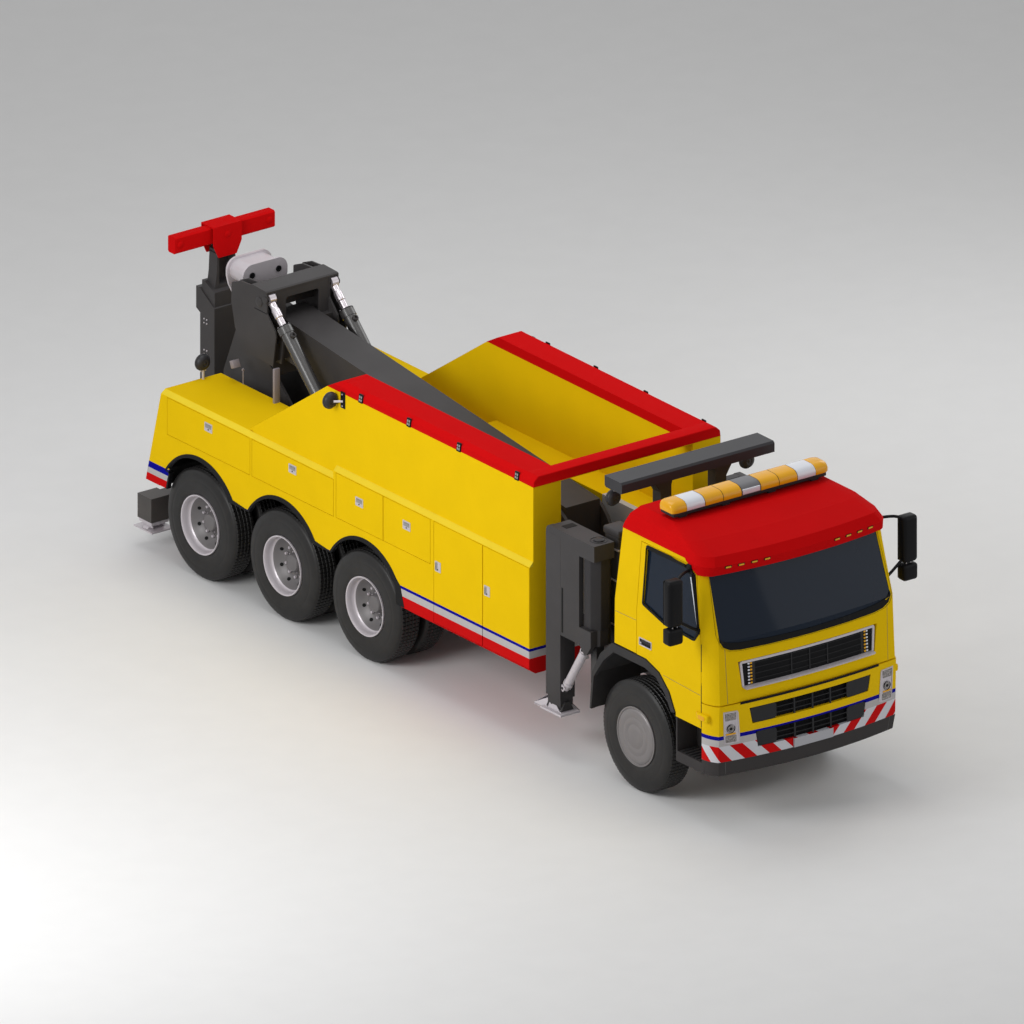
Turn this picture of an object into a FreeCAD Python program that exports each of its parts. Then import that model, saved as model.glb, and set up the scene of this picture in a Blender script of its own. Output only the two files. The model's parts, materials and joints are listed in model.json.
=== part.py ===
"""Heavy recovery truck, four axles, as a parametric FreeCAD document.

Millimetres. +Z up, the cab faces -Y, the truck's left side is +X.
Sizes are measured from the front axle and the ground, as on a vehicle drawing,
and every piece is then placed by axleShift so that the origin is on the ground,
under the middle of the whole length.
"""
import FreeCAD, Part

import os
import re

import Sketcher
from FreeCAD import Placement, Rotation, Vector

doc = FreeCAD.newDocument("RecoveryTruck")
sheet = doc.addObject("Spreadsheet::Sheet", "Sizes")

# ---------------------------------------------------------------- driving sizes
# alias, millimetres (or degrees, or a plain ratio)
sizes = (
    ("frontOverhang", 1540), ("rearReach", 8970),
    ("fitGap", 0.3), ("panelGap", 6), ("lockerGap", 12),
    # wheels and axles
    ("wheelRadius", 613), ("tyreWidth", 305), ("steerTyreWidth", 315),
    ("beadRadius", 306), ("flangeRadius", 327), ("shoulder", 48),
    ("rearTyreFace", 1245), ("steerTyreFace", 1180), ("twinGap", 40),
    ("hubBore", 50), ("kingpinX", 850), ("kingpinRadius", 20),
    ("axleTwo", 4638), ("axleThree", 6075), ("axleFour", 7512),
    # chassis
    ("railOuter", 430), ("railWidth", 85), ("railBottom", 880), ("railTop", 1150),
    ("railFlange", 12), ("railFront", -1180), ("railRear", 8420),
    # bumper and cab
    ("cabWall", 55), ("cabFloor", 1600), ("floorThick", 60), ("cabEaves", 2920), ("cabSill", 1400),
    ("bumperBottom", 600), ("bumperTop", 1390), ("bumperRear", -1215),
    ("stepTread", 715), ("stepRear", -762), ("stepDepth", 290), ("doorSill", 1100),
    ("doorFront", -1200), ("doorRear", -84), ("doorTop", 2862),
    ("archFront", -755), ("archRear", 723), ("archTop", 1575),
    ("windscreenSill", 2093), ("windscreenDip", 1965), ("windscreenTop", 2784),
    ("windscreenHalf", 1120), ("glass", 6),
    # recovery body
    ("bodyHalf", 1275), ("binOuter", 1226), ("binInner", 863), ("deckInner", 500),
    ("bodyFront", 1723), ("skirtBottom", 780), ("skirtEdge", 835),
    ("ledgeLow", 1990), ("ledgeTop", 2045), ("rearLedgeLow", 1900), ("rearLedgeTop", 1950),
    ("ledgeStep", 5146), ("binTop", 2880), ("capTop", 2990), ("binRear", 5170),
    ("tailTop", 8139), ("tailBottom", 8415), ("tailLow", 855),
    ("archSpan", 680), ("archCentre", 690), ("archValley", 1068),
    ("lockerWall", 30), ("lockerDepth", 560), ("lockerLip", 22), ("doorThick", 24),
    ("bodySkin", 30), ("crossRailDepth", 160),
    # boom
    ("boomPivotY", 2600), ("boomPivotZ", 1955), ("boomSlope", 0.114), ("boomHalf", 222),
    ("boomDeep", 450), ("boomEnd", 7620), ("boomWall", 16), ("headHalf", 470),
    ("eyeX", 407), ("rodEyeY", 7404), ("rodEyeZ", 2996), ("baseEyeY", 5680), ("baseEyeZ", 1300),
    ("barrelRadius", 72), ("rodRadius", 38), ("barrelLength", 2080), ("eyeWidth", 80),
    # under-lift
    ("liftPivotY", 8560), ("liftPivotZ", 960), ("mastHalf", 200), ("mastFront", 8650),
    ("mastRear", 8900), ("mastWall", 14), ("mastTop", 2432), ("collarTop", 2598),
    ("barHalf", 654), ("barCentreY", 8794), ("barCentreZ", 3222), ("sleeveHalf", 184),
    # outriggers and rear legs
    ("hingeX", 1085), ("hingeY", 790), ("columnHalf", 118), ("columnBottom", 1400),
    ("columnTop", 2400), ("armOuter", 1250), ("armPlate", 60), ("armRear", 1470),
    ("armTop", 2566), ("legWidth", 250), ("legWall", 14), ("pinRadius", 40),
    ("footBottom", 480), ("rearLegTop", 330), ("rearFootBottom", 220),
)
aliases = [alias for alias, _ in sizes]

# plan of the cab at each level, from the sill up to the eaves
# level, height, half width, end of the flat side, corner X, corner Y, front Y, rear Y
cab_columns = ("Z", "Half", "Side", "CornerX", "CornerY", "Front", "Rear")
cab_levels = {
    "cabFoot": (1100, 1226, -1210, 1150, -1440, -1500, 313),
    "cabBelt": (2090, 1226, -1200, 1134, -1385, -1455, 299),
    "cabHead": (2920, 1196, -1045, 1088, -1112, -1192, 196),
}
roof_levels = {
    "roofVisor": (2795, 1206, -1090, 1098, -1236, -1330, 205),
    "roofBrow": (2900, 1212, -1085, 1090, -1262, -1356, 200),
    "roofEdge": (2985, 1176, -1020, 1040, -1190, -1270, 190),
    "roofTurn": (3070, 1120, -760, 985, -900, -960, 172),
    "roofTop": (3142, 1010, -430, 890, -540, -580, 130),
}
bumper_levels = {
    "bumperFoot": (600, 1222, -1180, 1140, -1392, -1515, -780),
    "bumperBand": (760, 1226, -1190, 1157, -1415, -1530, -780),
    "bumperBrim": (1390, 1226, -1195, 1156, -1432, -1508, -780),
}
level_tables = (cab_levels, roof_levels, bumper_levels)
level_sizes = tuple(
    (level + column, number)
    for table in level_tables
    for level, row in table.items()
    for column, number in zip(cab_columns, row)
)
aliases += [alias for alias, _ in level_sizes]

for row, (alias, number) in enumerate(sizes + level_sizes, start=1):
    sheet.set(f"A{row}", alias)
    sheet.set(f"B{row}", str(number))
    sheet.setAlias(f"B{row}", alias)
doc.recompute()

axle_shift = "(frontOverhang - rearReach) / 2"
nodes = []


# ---------------------------------------------------------------- drawing kit
def bound(text):
    """An expression in the sheet's short names, as other objects must write it."""
    def full(word):
        return "Sizes." + word.group() if word.group() in aliases else word.group()
    return re.sub(r"[A-Za-z]\w*", full, str(text))


def number(text):
    """The present value of such an expression."""
    result = sheet.evalExpression(bound(text))
    return float(getattr(result, "Value", result))


def bind(thing, prop, text):
    """Tie one property to an expression."""
    thing.setExpression(prop, bound(text))


def place(thing, x="0", y="0", z="0", turn=None):
    """Place a piece: y runs from the front axle, so the shift is added here."""
    if turn:
        thing.Placement = Placement(Vector(), turn)
    bind(thing, "Placement.Base.x", x)
    bind(thing, "Placement.Base.y", f"({y}) + {axle_shift}")
    bind(thing, "Placement.Base.z", z)
    return thing


def node(label, thing):
    """Make a finished piece a sub-part of its own, under its file's name."""
    thing.Label = label
    nodes.append(thing)
    return thing


along = {"X": Rotation(Vector(0, 1, 0), 90), "Y": Rotation(Vector(1, 0, 0), -90), "Z": None}


def block(name, x, y, z):
    """A box between two limits on each axis."""
    box = doc.addObject("Part::Box", name)
    for prop, (low, high) in zip(("Length", "Width", "Height"), (x, y, z)):
        bind(box, prop, f"({high}) - ({low})")
    return place(box, x[0], y[0], z[0])


def pair(name, x, y, z):
    """The same box on both sides of the truck."""
    near = block(name, x, y, z)
    far = block(name + "Far", (f"-({x[1]})", f"-({x[0]})"), y, z)
    return [near, far]


def round_bar(name, axis, radius, span, across):
    """A cylinder along one axis; across holds the other two coordinates in order."""
    bar = doc.addObject("Part::Cylinder", name)
    bind(bar, "Radius", radius)
    bind(bar, "Height", f"({span[1]}) - ({span[0]})")
    where = dict(zip([letter for letter in "XYZ" if letter != axis], across))
    where[axis] = span[0]
    return place(bar, where["X"], where["Y"], where["Z"], along[axis])


def slanted_bar(name, radius, x, tail, tip):
    """A cylinder in a plane of constant x, from one (y, z) point to another."""
    start = Vector(0, number(tail[0]), number(tail[1]))
    end = Vector(0, number(tip[0]), number(tip[1]))
    bar = doc.addObject("Part::Cylinder", name)
    bind(bar, "Radius", radius)
    bar.Height = (end - start).Length
    return place(bar, x, tail[0], tail[1], Rotation(Vector(0, 0, 1), end - start))


def join(name, pieces):
    """One solid from pieces that touch or cross."""
    if len(pieces) == 1:
        return pieces[0]
    whole = doc.addObject("Part::MultiFuse", name)
    whole.Shapes = pieces
    whole.Refine = True
    return whole


def cut(name, base, tools):
    """The base less each tool."""
    result = doc.addObject("Part::Cut", name)
    result.Base = base
    result.Tool = join(name + "Tools", tools)
    result.Refine = True
    return result


def common(name, one, other):
    """What two pieces share."""
    result = doc.addObject("Part::MultiCommon", name)
    result.Shapes = [one, other]
    result.Refine = True
    return result


def group(name, pieces):
    """Solids that don't touch, kept as one sub-part."""
    compound = doc.addObject("Part::Compound", name)
    compound.Links = pieces
    return compound


def mirrored(name, source):
    """The same piece on the other side of the truck."""
    twin = doc.addObject("Part::Mirroring", name)
    twin.Source = source
    twin.Normal = (1, 0, 0)
    return twin


def both(name, source):
    """A piece and its mirror image as one sub-part of two solids."""
    return group(name, [source, mirrored(name + "Right", source)])


def draw(body, name, plane, outline, offset="0"):
    """A closed outline, fully constrained to the sheet.

    Points are (u, v) or, for the point that an arc passes through on its way
    from the corner before it to the corner after it, (u, v, "arc").
    """
    sketch = body.newObject("Sketcher::SketchObject", name)
    datum = [item for item in body.Origin.OriginFeatures if item.Role == plane + "_Plane"]
    sketch.AttachmentSupport = (datum[0], [""])
    sketch.MapMode = "FlatFace"
    bind(sketch, "AttachmentOffset.Base.z", offset)
    spots = [Vector(number(point[0]), number(point[1]), 0) for point in outline]
    corners = [index for index, point in enumerate(outline) if len(point) == 2]
    edges = []
    for here, after in zip(corners, corners[1:] + corners[:1]):
        between = (here + 1) % len(outline)
        if between == after:
            sketch.addGeometry(Part.LineSegment(spots[here], spots[after]))
            edges.append((here, None, True))
            continue
        arc = sketch.addGeometry(Part.Arc(spots[here], spots[between], spots[after]))
        first, last = sketch.getPoint(arc, 1), sketch.getPoint(arc, 2)
        forward = (first - spots[here]).Length < (last - spots[here]).Length
        edges.append((here, between, forward))
    ties = []
    for edge, (here, between, forward) in enumerate(edges):
        ties.append(("DistanceX", edge, 1 if forward else 2, here, 0))
        ties.append(("DistanceY", edge, 1 if forward else 2, here, 1))
    for edge, (here, between, forward) in enumerate(edges):
        later = (edge + 1) % len(edges)
        sketch.addConstraint(Sketcher.Constraint(
            "Coincident", edge, 2 if forward else 1, later, 1 if edges[later][2] else 2))
    for kind, edge, end, spot, axis in ties:
        tie_point(sketch, kind, edge, end, outline[spot][axis])
    for edge, (here, between, forward) in enumerate(edges):
        if between is None:
            continue
        mark = sketch.addGeometry(Part.Point(spots[between]), True)
        tie_point(sketch, "DistanceX", mark, 1, outline[between][0])
        tie_point(sketch, "DistanceY", mark, 1, outline[between][1])
        sketch.addConstraint(Sketcher.Constraint("PointOnObject", mark, 1, edge))
    return sketch


def tie_point(sketch, kind, geometry, end, text):
    """Hold one coordinate of a sketch point at an expression."""
    tie = sketch.addConstraint(Sketcher.Constraint(kind, -1, 1, geometry, end, number(text)))
    bind(sketch, f"Constraints[{tie}]", text)


def prism(name, plane, outline, start, end):
    """An outline in a plane, made solid between two distances along its normal."""
    body = place(doc.addObject("PartDesign::Body", name))
    offset = f"-({end})" if plane == "XZ" else start
    sketch = draw(body, name + "Outline", plane, outline, offset)
    pad = body.newObject("PartDesign::Pad", name + "Pad")
    pad.Profile = sketch
    bind(pad, "Length", f"({end}) - ({start})")
    sketch.Visibility = False
    return body


def loft(name, sections):
    """A ruled body through level outlines, each (height, outline)."""
    body = place(doc.addObject("PartDesign::Body", name))
    sketches = [
        draw(body, f"{name}Level{index}", "XY", outline, height)
        for index, (height, outline) in enumerate(sections)
    ]
    solid = body.newObject("PartDesign::AdditiveLoft", name + "Loft")
    solid.Profile = sketches[0]
    solid.Sections = sketches[1:]
    solid.Ruled = True
    return body


def turned(name, outline, x, y, z):
    """A profile of (distance along the axle, radius) spun round a crosswise axle."""
    body = place(doc.addObject("PartDesign::Body", name), x, y, z)
    sketch = draw(body, name + "Profile", "XY", outline)
    spin = body.newObject("PartDesign::Revolution", name + "Spin")
    spin.Profile = sketch
    spin.ReferenceAxis = (sketch, ["H_Axis"])
    spin.Angle = 360
    return body


# ---------------------------------------------------------------- cab
def plan(level, inset="0"):
    """The cab's plan at a level: flat sides, curved corners and a bowed front."""
    half, side, corner_x, corner_y, front, rear = (
        level + column for column in cab_columns[1:])
    inset = f"({inset})"
    right_turn = (f"({half} - {inset} + {corner_x} - {inset}) / 2 + 16",
                  f"({side} + {corner_y}) / 2 + {inset} - 22")
    return (
        (f"-({half} - {inset})", f"{rear} - {inset}"),
        (f"{half} - {inset}", f"{rear} - {inset}"),
        (f"{half} - {inset}", f"{side} + {inset}"),
        (right_turn[0], right_turn[1], "arc"),
        (f"{corner_x} - {inset}", f"{corner_y} + {inset}"),
        ("0", f"{front} + {inset}", "arc"),
        (f"-({corner_x} - {inset})", f"{corner_y} + {inset}"),
        (f"-({right_turn[0]})", right_turn[1], "arc"),
        (f"-({half} - {inset})", f"{side} + {inset}"),
    )


def shell(name, table, inset="0"):
    """The form through a table's levels, drawn in by an inset."""
    return loft(name, [(level + "Z", plan(level, inset)) for level in table])


def skin(name, table, outer, inner):
    """A layer of that form between two insets."""
    return cut(name, shell(name + "Outer", table, outer), [shell(name + "Inner", table, inner)])


door_outline = (
    ("doorFront", "doorSill"), ("doorFront", "windscreenSill - 40"),
    ("doorFront + 112", "doorTop - 74"), ("doorFront + 228", "doorTop"),
    ("doorRear - 48", "doorTop"),
    ("doorRear", "windscreenSill"), ("doorRear + 4", "archTop + 8"),
    ("doorRear - 163", "archTop + 8"), ("doorRear - 396", "archTop - 70"),
    ("archFront + 98", "archTop - 234"), ("archFront - 8", "archTop - 433"),
    ("archFront - 8", "doorSill"),
)
window_outline = (
    ("doorFront + 48", "windscreenSill + 79"), ("doorFront + 148", "windscreenSill + 700"),
    ("doorFront + 190", "windscreenSill + 730"), ("doorFront + 289", "windscreenSill + 750"),
    ("doorRear - 153", "windscreenSill + 740"), ("doorRear - 110", "windscreenSill + 97"),
    ("doorRear - 477", "windscreenSill - 2"), ("doorFront + 121", "windscreenSill - 24"),
)
screen_outline = (
    ("-windscreenHalf", "windscreenSill"), ("0", "windscreenDip", "arc"),
    ("windscreenHalf", "windscreenSill"), ("windscreenHalf - 30", "windscreenTop"),
    ("-(windscreenHalf - 30)", "windscreenTop"),
)


def grown(outline, rise):
    """An outline of straight edges scaled about its middle so that it grows by a margin."""
    middle_u = " + ".join(f"({point[0]})" for point in outline)
    middle_v = " + ".join(f"({point[1]})" for point in outline)
    count = len(outline)
    wide = max(number(p[0]) for p in outline) - min(number(p[0]) for p in outline)
    tall = max(number(p[1]) for p in outline) - min(number(p[1]) for p in outline)
    along_u = 1 + 2 * number(rise) / wide
    along_v = 1 + 2 * number(rise) / tall
    return tuple(
        (f"({point[0]}) * {along_u} - ({middle_u}) / {count} * {along_u - 1}",
         f"({point[1]}) * {along_v} - ({middle_v}) / {count} * {along_v - 1}") + point[2:]
        for point in outline
    )


left_side = ("cabHeadHalf - cabWall - 10", "cabFootHalf + 60")
cab_form = shell("CabForm", cab_levels)
cab_hollow = shell("CabHollow", cab_levels, "cabWall")
cab_room = common("CabRoom", cab_hollow, join("CabRoomBoxes", [
    block("CabinBox", ("-cabFootHalf", "cabFootHalf"), ("-1600", "400"),
          ("cabFloor + floorThick", "cabEaves + 10")),
    block("UnderFloorBox", ("-cabFootHalf", "cabFootHalf"), ("-1600", "400"),
          ("cabFootZ - 10", "cabFloor"))]))
door_hole = prism("DoorHole", "YZ", grown(door_outline, "panelGap"), *left_side)
bumper_room = block("BumperRoom", ("-cabFootHalf - 20", "cabFootHalf + 20"),
                    ("-1600", "doorFront - 9"), ("cabFootZ - 1", "cabSill"))
flare_cut = prism("FlareCut", "YZ", (
    ("archFront - 14", "cabFootZ - 10"), ("archFront - 14", "archTop - 435"),
    ("archFront + 92", "archTop - 230"), ("doorRear - 400", "archTop - 64"),
    ("doorRear - 165", "archTop + 14"), ("archRear - 343", "archTop + 14"),
    ("archRear - 343", "cabFootZ - 10")), "-cabFootHalf - 20", "cabFootHalf + 20")
cab_feet = [
    foot for label, where in (("Front", "-1130"), ("Rear", "130"))
    for foot in pair(f"CabFoot{label}", ("railOuter - railWidth", "railOuter"),
                     (where, f"{where} + 110"), ("railTop", "cabFloor + 10"))
]
upper_grille = (
    ("-868", "1552"), ("868", "1552"), ("908", "1845"), ("-908", "1845"))
grille_pocket = common(
    "GrillePocket", skin("GrilleDepth", cab_levels, "-20", "40"),
    prism("GrilleHole", "XZ", grown(upper_grille, "fitGap"), "-1600", "-1300"))
screen_hole = prism("ScreenHole", "XZ", screen_outline, "-1600", "-900")
cab = cut("CabPanels", cab_form, [
    cab_room, flare_cut, bumper_room, grille_pocket, screen_hole, door_hole,
    mirrored("DoorHoleRight", door_hole)])
node("cab_shell", join("CabShell", [cab] + cab_feet))

door_slab = common("DoorSlab", skin("DoorSkin", cab_levels, "0", "cabWall"),
                   prism("DoorShape", "YZ", door_outline, *left_side))
window_hole = prism("WindowHole", "YZ", window_outline, *left_side)
node("door_left", cut("DoorLeft", door_slab, [window_hole]))
node("door_right", mirrored("DoorRight", doc.getObject("DoorLeft")))
pane = common("PaneLeft", skin("PaneSkin", cab_levels, "10", "10 + glass"),
              prism("PaneShape", "YZ", grown(window_outline, "-fitGap"), *left_side))
node("door_glass_left", pane)
node("door_glass_right", mirrored("PaneRight", pane))
screen = common("Windscreen", skin("ScreenSkin", cab_levels, "5", "5 + glass"),
                prism("ScreenShape", "XZ", grown(screen_outline, "-fitGap"), "-1600", "-900"))
node("windscreen", screen)

roof_form = shell("RoofForm", roof_levels)
roof_room = common("RoofRoom", shell("RoofHollow", roof_levels, "cabWall"), block(
    "RoofRoomBox", ("-cabFootHalf", "cabFootHalf"), ("-1600", "400"),
    ("roofVisorZ - 5", "roofTopZ - 45")))
roof_under = prism("RoofUnder", "YZ", (
    ("400", "cabEaves"), ("400", "roofVisorZ - 50"), ("roofVisorSide", "roofVisorZ - 50"),
    ("roofVisorSide", "roofVisorZ + 4"), ("roofVisorSide + 200", "cabEaves")),
    "-cabFootHalf - 20", "cabFootHalf + 20")
roof = cut("Roof", roof_form, [
    roof_room, roof_under,
    loft("RoofSeat", [(level + "Z", plan(level, "-fitGap")) for level in cab_levels])])
node("cab_roof", roof)

# ---------------------------------------------------------------- grilles and lamps
grille_bars = [
    block(f"GrilleBar{index}", ("-900", "900"), ("-1600", "-1300"),
          (f"1552 + {rise}", f"1552 + {rise} + 14"))
    for index, rise in enumerate((48, 96, 144, 192, 240))
] + [
    block(f"GrillePost{index}", (f"{middle} - 7", f"{middle} + 7"), ("-1600", "-1300"),
          ("1560", "1840"))
    for index, middle in enumerate((-560, -280, 0, 280, 560))
] + [
    prism(f"GrilleEnd{index}", "XZ", ((f"{inner}", "1560"), (f"{outer}", "1560"),
                                      (f"{outer + lean}", "1838"), (f"{inner + lean}", "1838")),
          "-1600", "-1300")
    for index, (inner, outer, lean) in enumerate(((740, 848, 38), (-848, -740, -38)))
]
grille_frame = cut("GrilleFrame", prism("GrilleRim", "XZ", upper_grille, "-1600", "-1300"),
                   [prism("GrilleInside", "XZ", grown(upper_grille, "-22"), "-1650", "-1250")])
grille_top = common("GrilleTop", skin("GrilleLayer", cab_levels, "-8", "39"), join(
    "GrilleShape", [grille_frame]))
grille_mesh = common("GrilleMesh", skin("GrilleMeshLayer", cab_levels, "14", "30"), common(
    "GrilleMeshShape", join("GrilleBars", grille_bars),
    prism("GrilleLimit", "XZ", upper_grille, "-1620", "-1280")))
low_grilles = {
    # bottom, top, half width at the bottom and at the top
    "Middle": (1135, 1314, 758, 793),
    "Lower": (864, 1036, 694, 721),
}
low_bars = []
low_holes = []
for label, (bottom, top, foot_half, head_half) in low_grilles.items():
    outline = ((f"-{foot_half}", f"{bottom}"), (f"{foot_half}", f"{bottom}"),
               (f"{head_half}", f"{top}"), (f"-{head_half}", f"{top}"))
    low_holes.append(prism(f"{label}Hole", "XZ", grown(outline, "fitGap"), "-1600", "-1350"))
    ends = [
        block(f"{label}End{side}", (f"{side} * 627 - 168", f"{side} * 627 + 168"),
              ("-1600", "-1350"), (f"{bottom}", f"{top}")) for side in (-1, 1)]
    rails = [
        block(f"{label}Rail{index}", ("-780", "780"), ("-1600", "-1350"),
              (f"{bottom + rise}", f"{bottom + rise + 12}"))
        for index, rise in enumerate(range(20, top - bottom, 38))]
    posts = [
        block(f"{label}Post{index}", (f"{middle - 6}", f"{middle + 6}"), ("-1600", "-1350"),
              (f"{bottom}", f"{top}")) for index, middle in enumerate((-230, 0, 230))]
    low_bars.append(common(
        f"{label}Grille", skin(f"{label}Layer", bumper_levels, "4", "34.7"),
        common(f"{label}Shape", join(f"{label}Bars", ends + rails + posts),
               prism(f"{label}Limit", "XZ", outline, "-1620", "-1340"))))
node("grille", group("Grille", [join("GrilleUpper", [grille_top, grille_mesh])] + low_bars))

lamp_outline = (("932", "960"), ("1098", "962"), ("1111", "1326"), ("943", "1320"))
lamp_left = common("LampLeft", skin("LampLayer", bumper_levels, "-2", "39.7"),
                   prism("LampShape", "XZ", lamp_outline, "-1600", "-1300"))
node("headlights", both("Headlights", lamp_left))
lamp_hole = prism("LampHole", "XZ", grown(lamp_outline, "fitGap"), "-1600", "-1300")

# ---------------------------------------------------------------- bumper and steps
bumper_pockets = common("BumperPockets", skin("PocketLayer", bumper_levels, "-20", "40"), join(
    "PocketShapes", low_holes + [lamp_hole, mirrored("LampHoleRight", lamp_hole)]))
plate = block("Plate", ("-255", "255"), ("-frontOverhang", "-frontOverhang + 60"),
              ("761", "864"))
step_pan = pair("StepPan", ("cabFootHalf - stepDepth", "cabFootHalf - 4"),
                ("bumperRear - 30", "stepRear"), ("bumperBottom", "stepTread"))
step_back = pair("StepBack", ("cabFootHalf - stepDepth", "cabFootHalf - stepDepth + 30"),
                 ("bumperRear - 30", "stepRear"), ("bumperBottom", "doorSill - panelGap"))
step_end = pair("StepEnd", ("cabFootHalf - stepDepth", "cabFootHalf - 4"),
                ("stepRear - 22", "stepRear"), ("bumperBottom", "doorSill - panelGap"))
bumper_shell = cut("BumperShell", skin("BumperSkin", bumper_levels, "0", "70"), [
    block("BumperRearCut", ("-1300", "1300"), ("bumperRear", "0"),
          ("bumperBottom - 1", "bumperTop + 1")), bumper_pockets])
bearers = pair("BumperBearer", ("railOuter - railWidth", "railOuter"),
               ("bumperRear - 250", "railFront"), ("railBottom + 60", "railTop - 60"))
front_bumper = join("FrontBumper", [bumper_shell, plate] + step_pan + step_back + step_end
                    + bearers)
node("front_bumper", front_bumper)

# ---------------------------------------------------------------- cab furniture and roof bar
seat_shape = (
    ("-260", "cabFloor + 60"), ("60", "cabFloor + 60"), ("80", "cabFloor + 330"),
    ("150", "cabFloor + 1060"), ("40", "cabFloor + 1080"), ("-50", "cabFloor + 480"),
    ("-470", "cabFloor + 470"), ("-480", "cabFloor + 350"), ("-300", "cabFloor + 330"),
)
seat = prism("Seat", "YZ", seat_shape, "330", "850")
node("seats", both("Seats", seat))
dash = prism("Dash", "YZ", (
    ("-1300", "cabFloor + 60"), ("-1180", "cabFloor + 60"), ("-1080", "cabFloor + 400"),
    ("-1120", "cabFloor + 520"), ("-1300", "cabFloor + 490")), "-1035", "1035")
column = slanted_bar("SteeringColumn", "32", "590", ("-1140", "cabFloor + 420"),
                     ("-925", "cabFloor + 640"))
rim_of_wheel = doc.addObject("Part::Torus", "SteeringWheel")
rim_of_wheel.Radius1 = 215
rim_of_wheel.Radius2 = 17
place(rim_of_wheel, "590", "-915", "cabFloor + 650", Rotation(Vector(1, 0, 0), 44))
spoke = block("SteeringSpoke", ("590 - 200", "590 + 200"), ("-940", "-890"),
              ("cabFloor + 632", "cabFloor + 660"))
node("dashboard", join("Dashboard", [dash, column, rim_of_wheel, spoke]))

bar_base = prism("BarBase", "YZ", (
    ("-425", "roofTopZ + fitGap"), ("-190", "roofTopZ + fitGap"), ("-190", "3218"),
    ("-425", "3218")), "-1005", "1005")
bar_section = prism("BarSection", "YZ", (
    ("-450", "3218"), ("-180", "3218"), ("-190", "3290"), ("-235", "3328"),
    ("-390", "3328"), ("-438", "3290")), "-1023", "1023")
bar_plan = prism("BarPlan", "XY", (
    ("-955", "-450"), ("955", "-450"), ("1003", "-430", "arc"), ("1023", "-382"),
    ("1023", "-248"), ("1003", "-200", "arc"), ("955", "-180"), ("-955", "-180"),
    ("-1003", "-200", "arc"), ("-1023", "-248"), ("-1023", "-382"),
    ("-1003", "-430", "arc")), "3200", "3340")
bar_lens = common("BarLens", bar_section, bar_plan)
node("roof_light_bar", join("RoofLightBar", [bar_base, bar_lens]))

# ---------------------------------------------------------------- front mudguards
guard_outer = (
    ("archRear", "720"), ("archRear - 33", "archTop - 444"), ("archRear - 183", "archTop - 180"),
    ("archRear - 383", "archTop"), ("doorRear - 160", "archTop"),
    ("doorRear - 393", "archTop - 77"), ("archFront + 104", "archTop - 240"),
    ("archFront", "archTop - 435"))
guard_inner = (
    ("archFront + 62", "archTop - 450"), ("archFront + 165", "archTop - 285"),
    ("doorRear - 350", "archTop - 145"), ("doorRear - 150", "archTop - 95"),
    ("archRear - 410", "archTop - 95"), ("archRear - 240", "archTop - 240"),
    ("archRear - 70", "archTop - 470"), ("archRear - 24", "720"))
flare = prism("GuardFlare", "YZ", guard_outer + guard_inner, "binOuter - 40", "binOuter + 12")
liner_inner = (
    ("archFront + 22", "archTop - 442"), ("archFront + 122", "archTop - 262"),
    ("doorRear - 378", "archTop - 103"), ("doorRear - 155", "archTop - 26"),
    ("archRear - 392", "archTop - 26"), ("archRear - 202", "archTop - 200"),
    ("archRear - 52", "archTop - 452"), ("archRear - 18", "720"))
liner = prism("GuardLiner", "YZ", guard_outer + liner_inner, "kingpinX - 250", "binOuter - 30")
guard_stays = [
    block(f"GuardStay{index}", ("railOuter", "kingpinX - 240"), where, ("railTop - 50", "railTop - 10"))
    for index, where in enumerate((("archFront + 2", "archFront + 26"),
                                   ("archRear - 60", "archRear - 25")))]
guard = join("MudguardLeft", [flare, liner] + guard_stays)
node("front_mudguards", both("Mudguards", guard))

# ---------------------------------------------------------------- chassis
rail_web = prism("RailWeb", "XZ", (
    ("railOuter", "railBottom"), ("railOuter", "railTop"), ("railOuter - railWidth", "railTop"),
    ("railOuter - railWidth", "railTop - railFlange"),
    ("railOuter - railFlange", "railTop - railFlange"),
    ("railOuter - railFlange", "railBottom + railFlange"),
    ("railOuter - railWidth", "railBottom + railFlange"),
    ("railOuter - railWidth", "railBottom")), "railFront", "railRear")
cross_members = [
    block(f"CrossMember{index}", ("-railOuter + 6", "railOuter - 6"),
          (f"{where} - 60", f"{where} + 60"), ("railBottom + 40", "railTop - 40"))
    for index, where in enumerate((
        "railFront + 70", "1250", "3300", "(axleTwo + axleThree) / 2",
        "(axleThree + axleFour) / 2", "railRear - 70"))
]

def spring(name, middle, reach, seat_top):
    """A leaf pack on its axle, with hangers up to the rail."""
    left = ("railOuter - railWidth", "railOuter")
    pack = prism(name + "Leaves", "YZ", (
        (f"{middle} - {reach}", "railBottom - 90"), (f"{middle}", f"{seat_top}", "arc"),
        (f"{middle} + {reach}", "railBottom - 90"), (f"{middle} + {reach}", "railBottom - 40"),
        (f"{middle} + 120", f"{seat_top} + 105"), (f"{middle} - 120", f"{seat_top} + 105"),
        (f"{middle} - {reach}", "railBottom - 40")), "railOuter - railWidth + 6", "railOuter - 6")
    hangers = [
        block(f"{name}Hanger{index}", left, (f"{middle} + {where} - 35", f"{middle} + {where} + 35"),
              ("railBottom - 100", "railBottom"))
        for index, where in enumerate((f"-({reach})", f"({reach})"))]
    side = join(name + "Left", [pack] + hangers)
    return [side, mirrored(name + "Right", side)]


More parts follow.
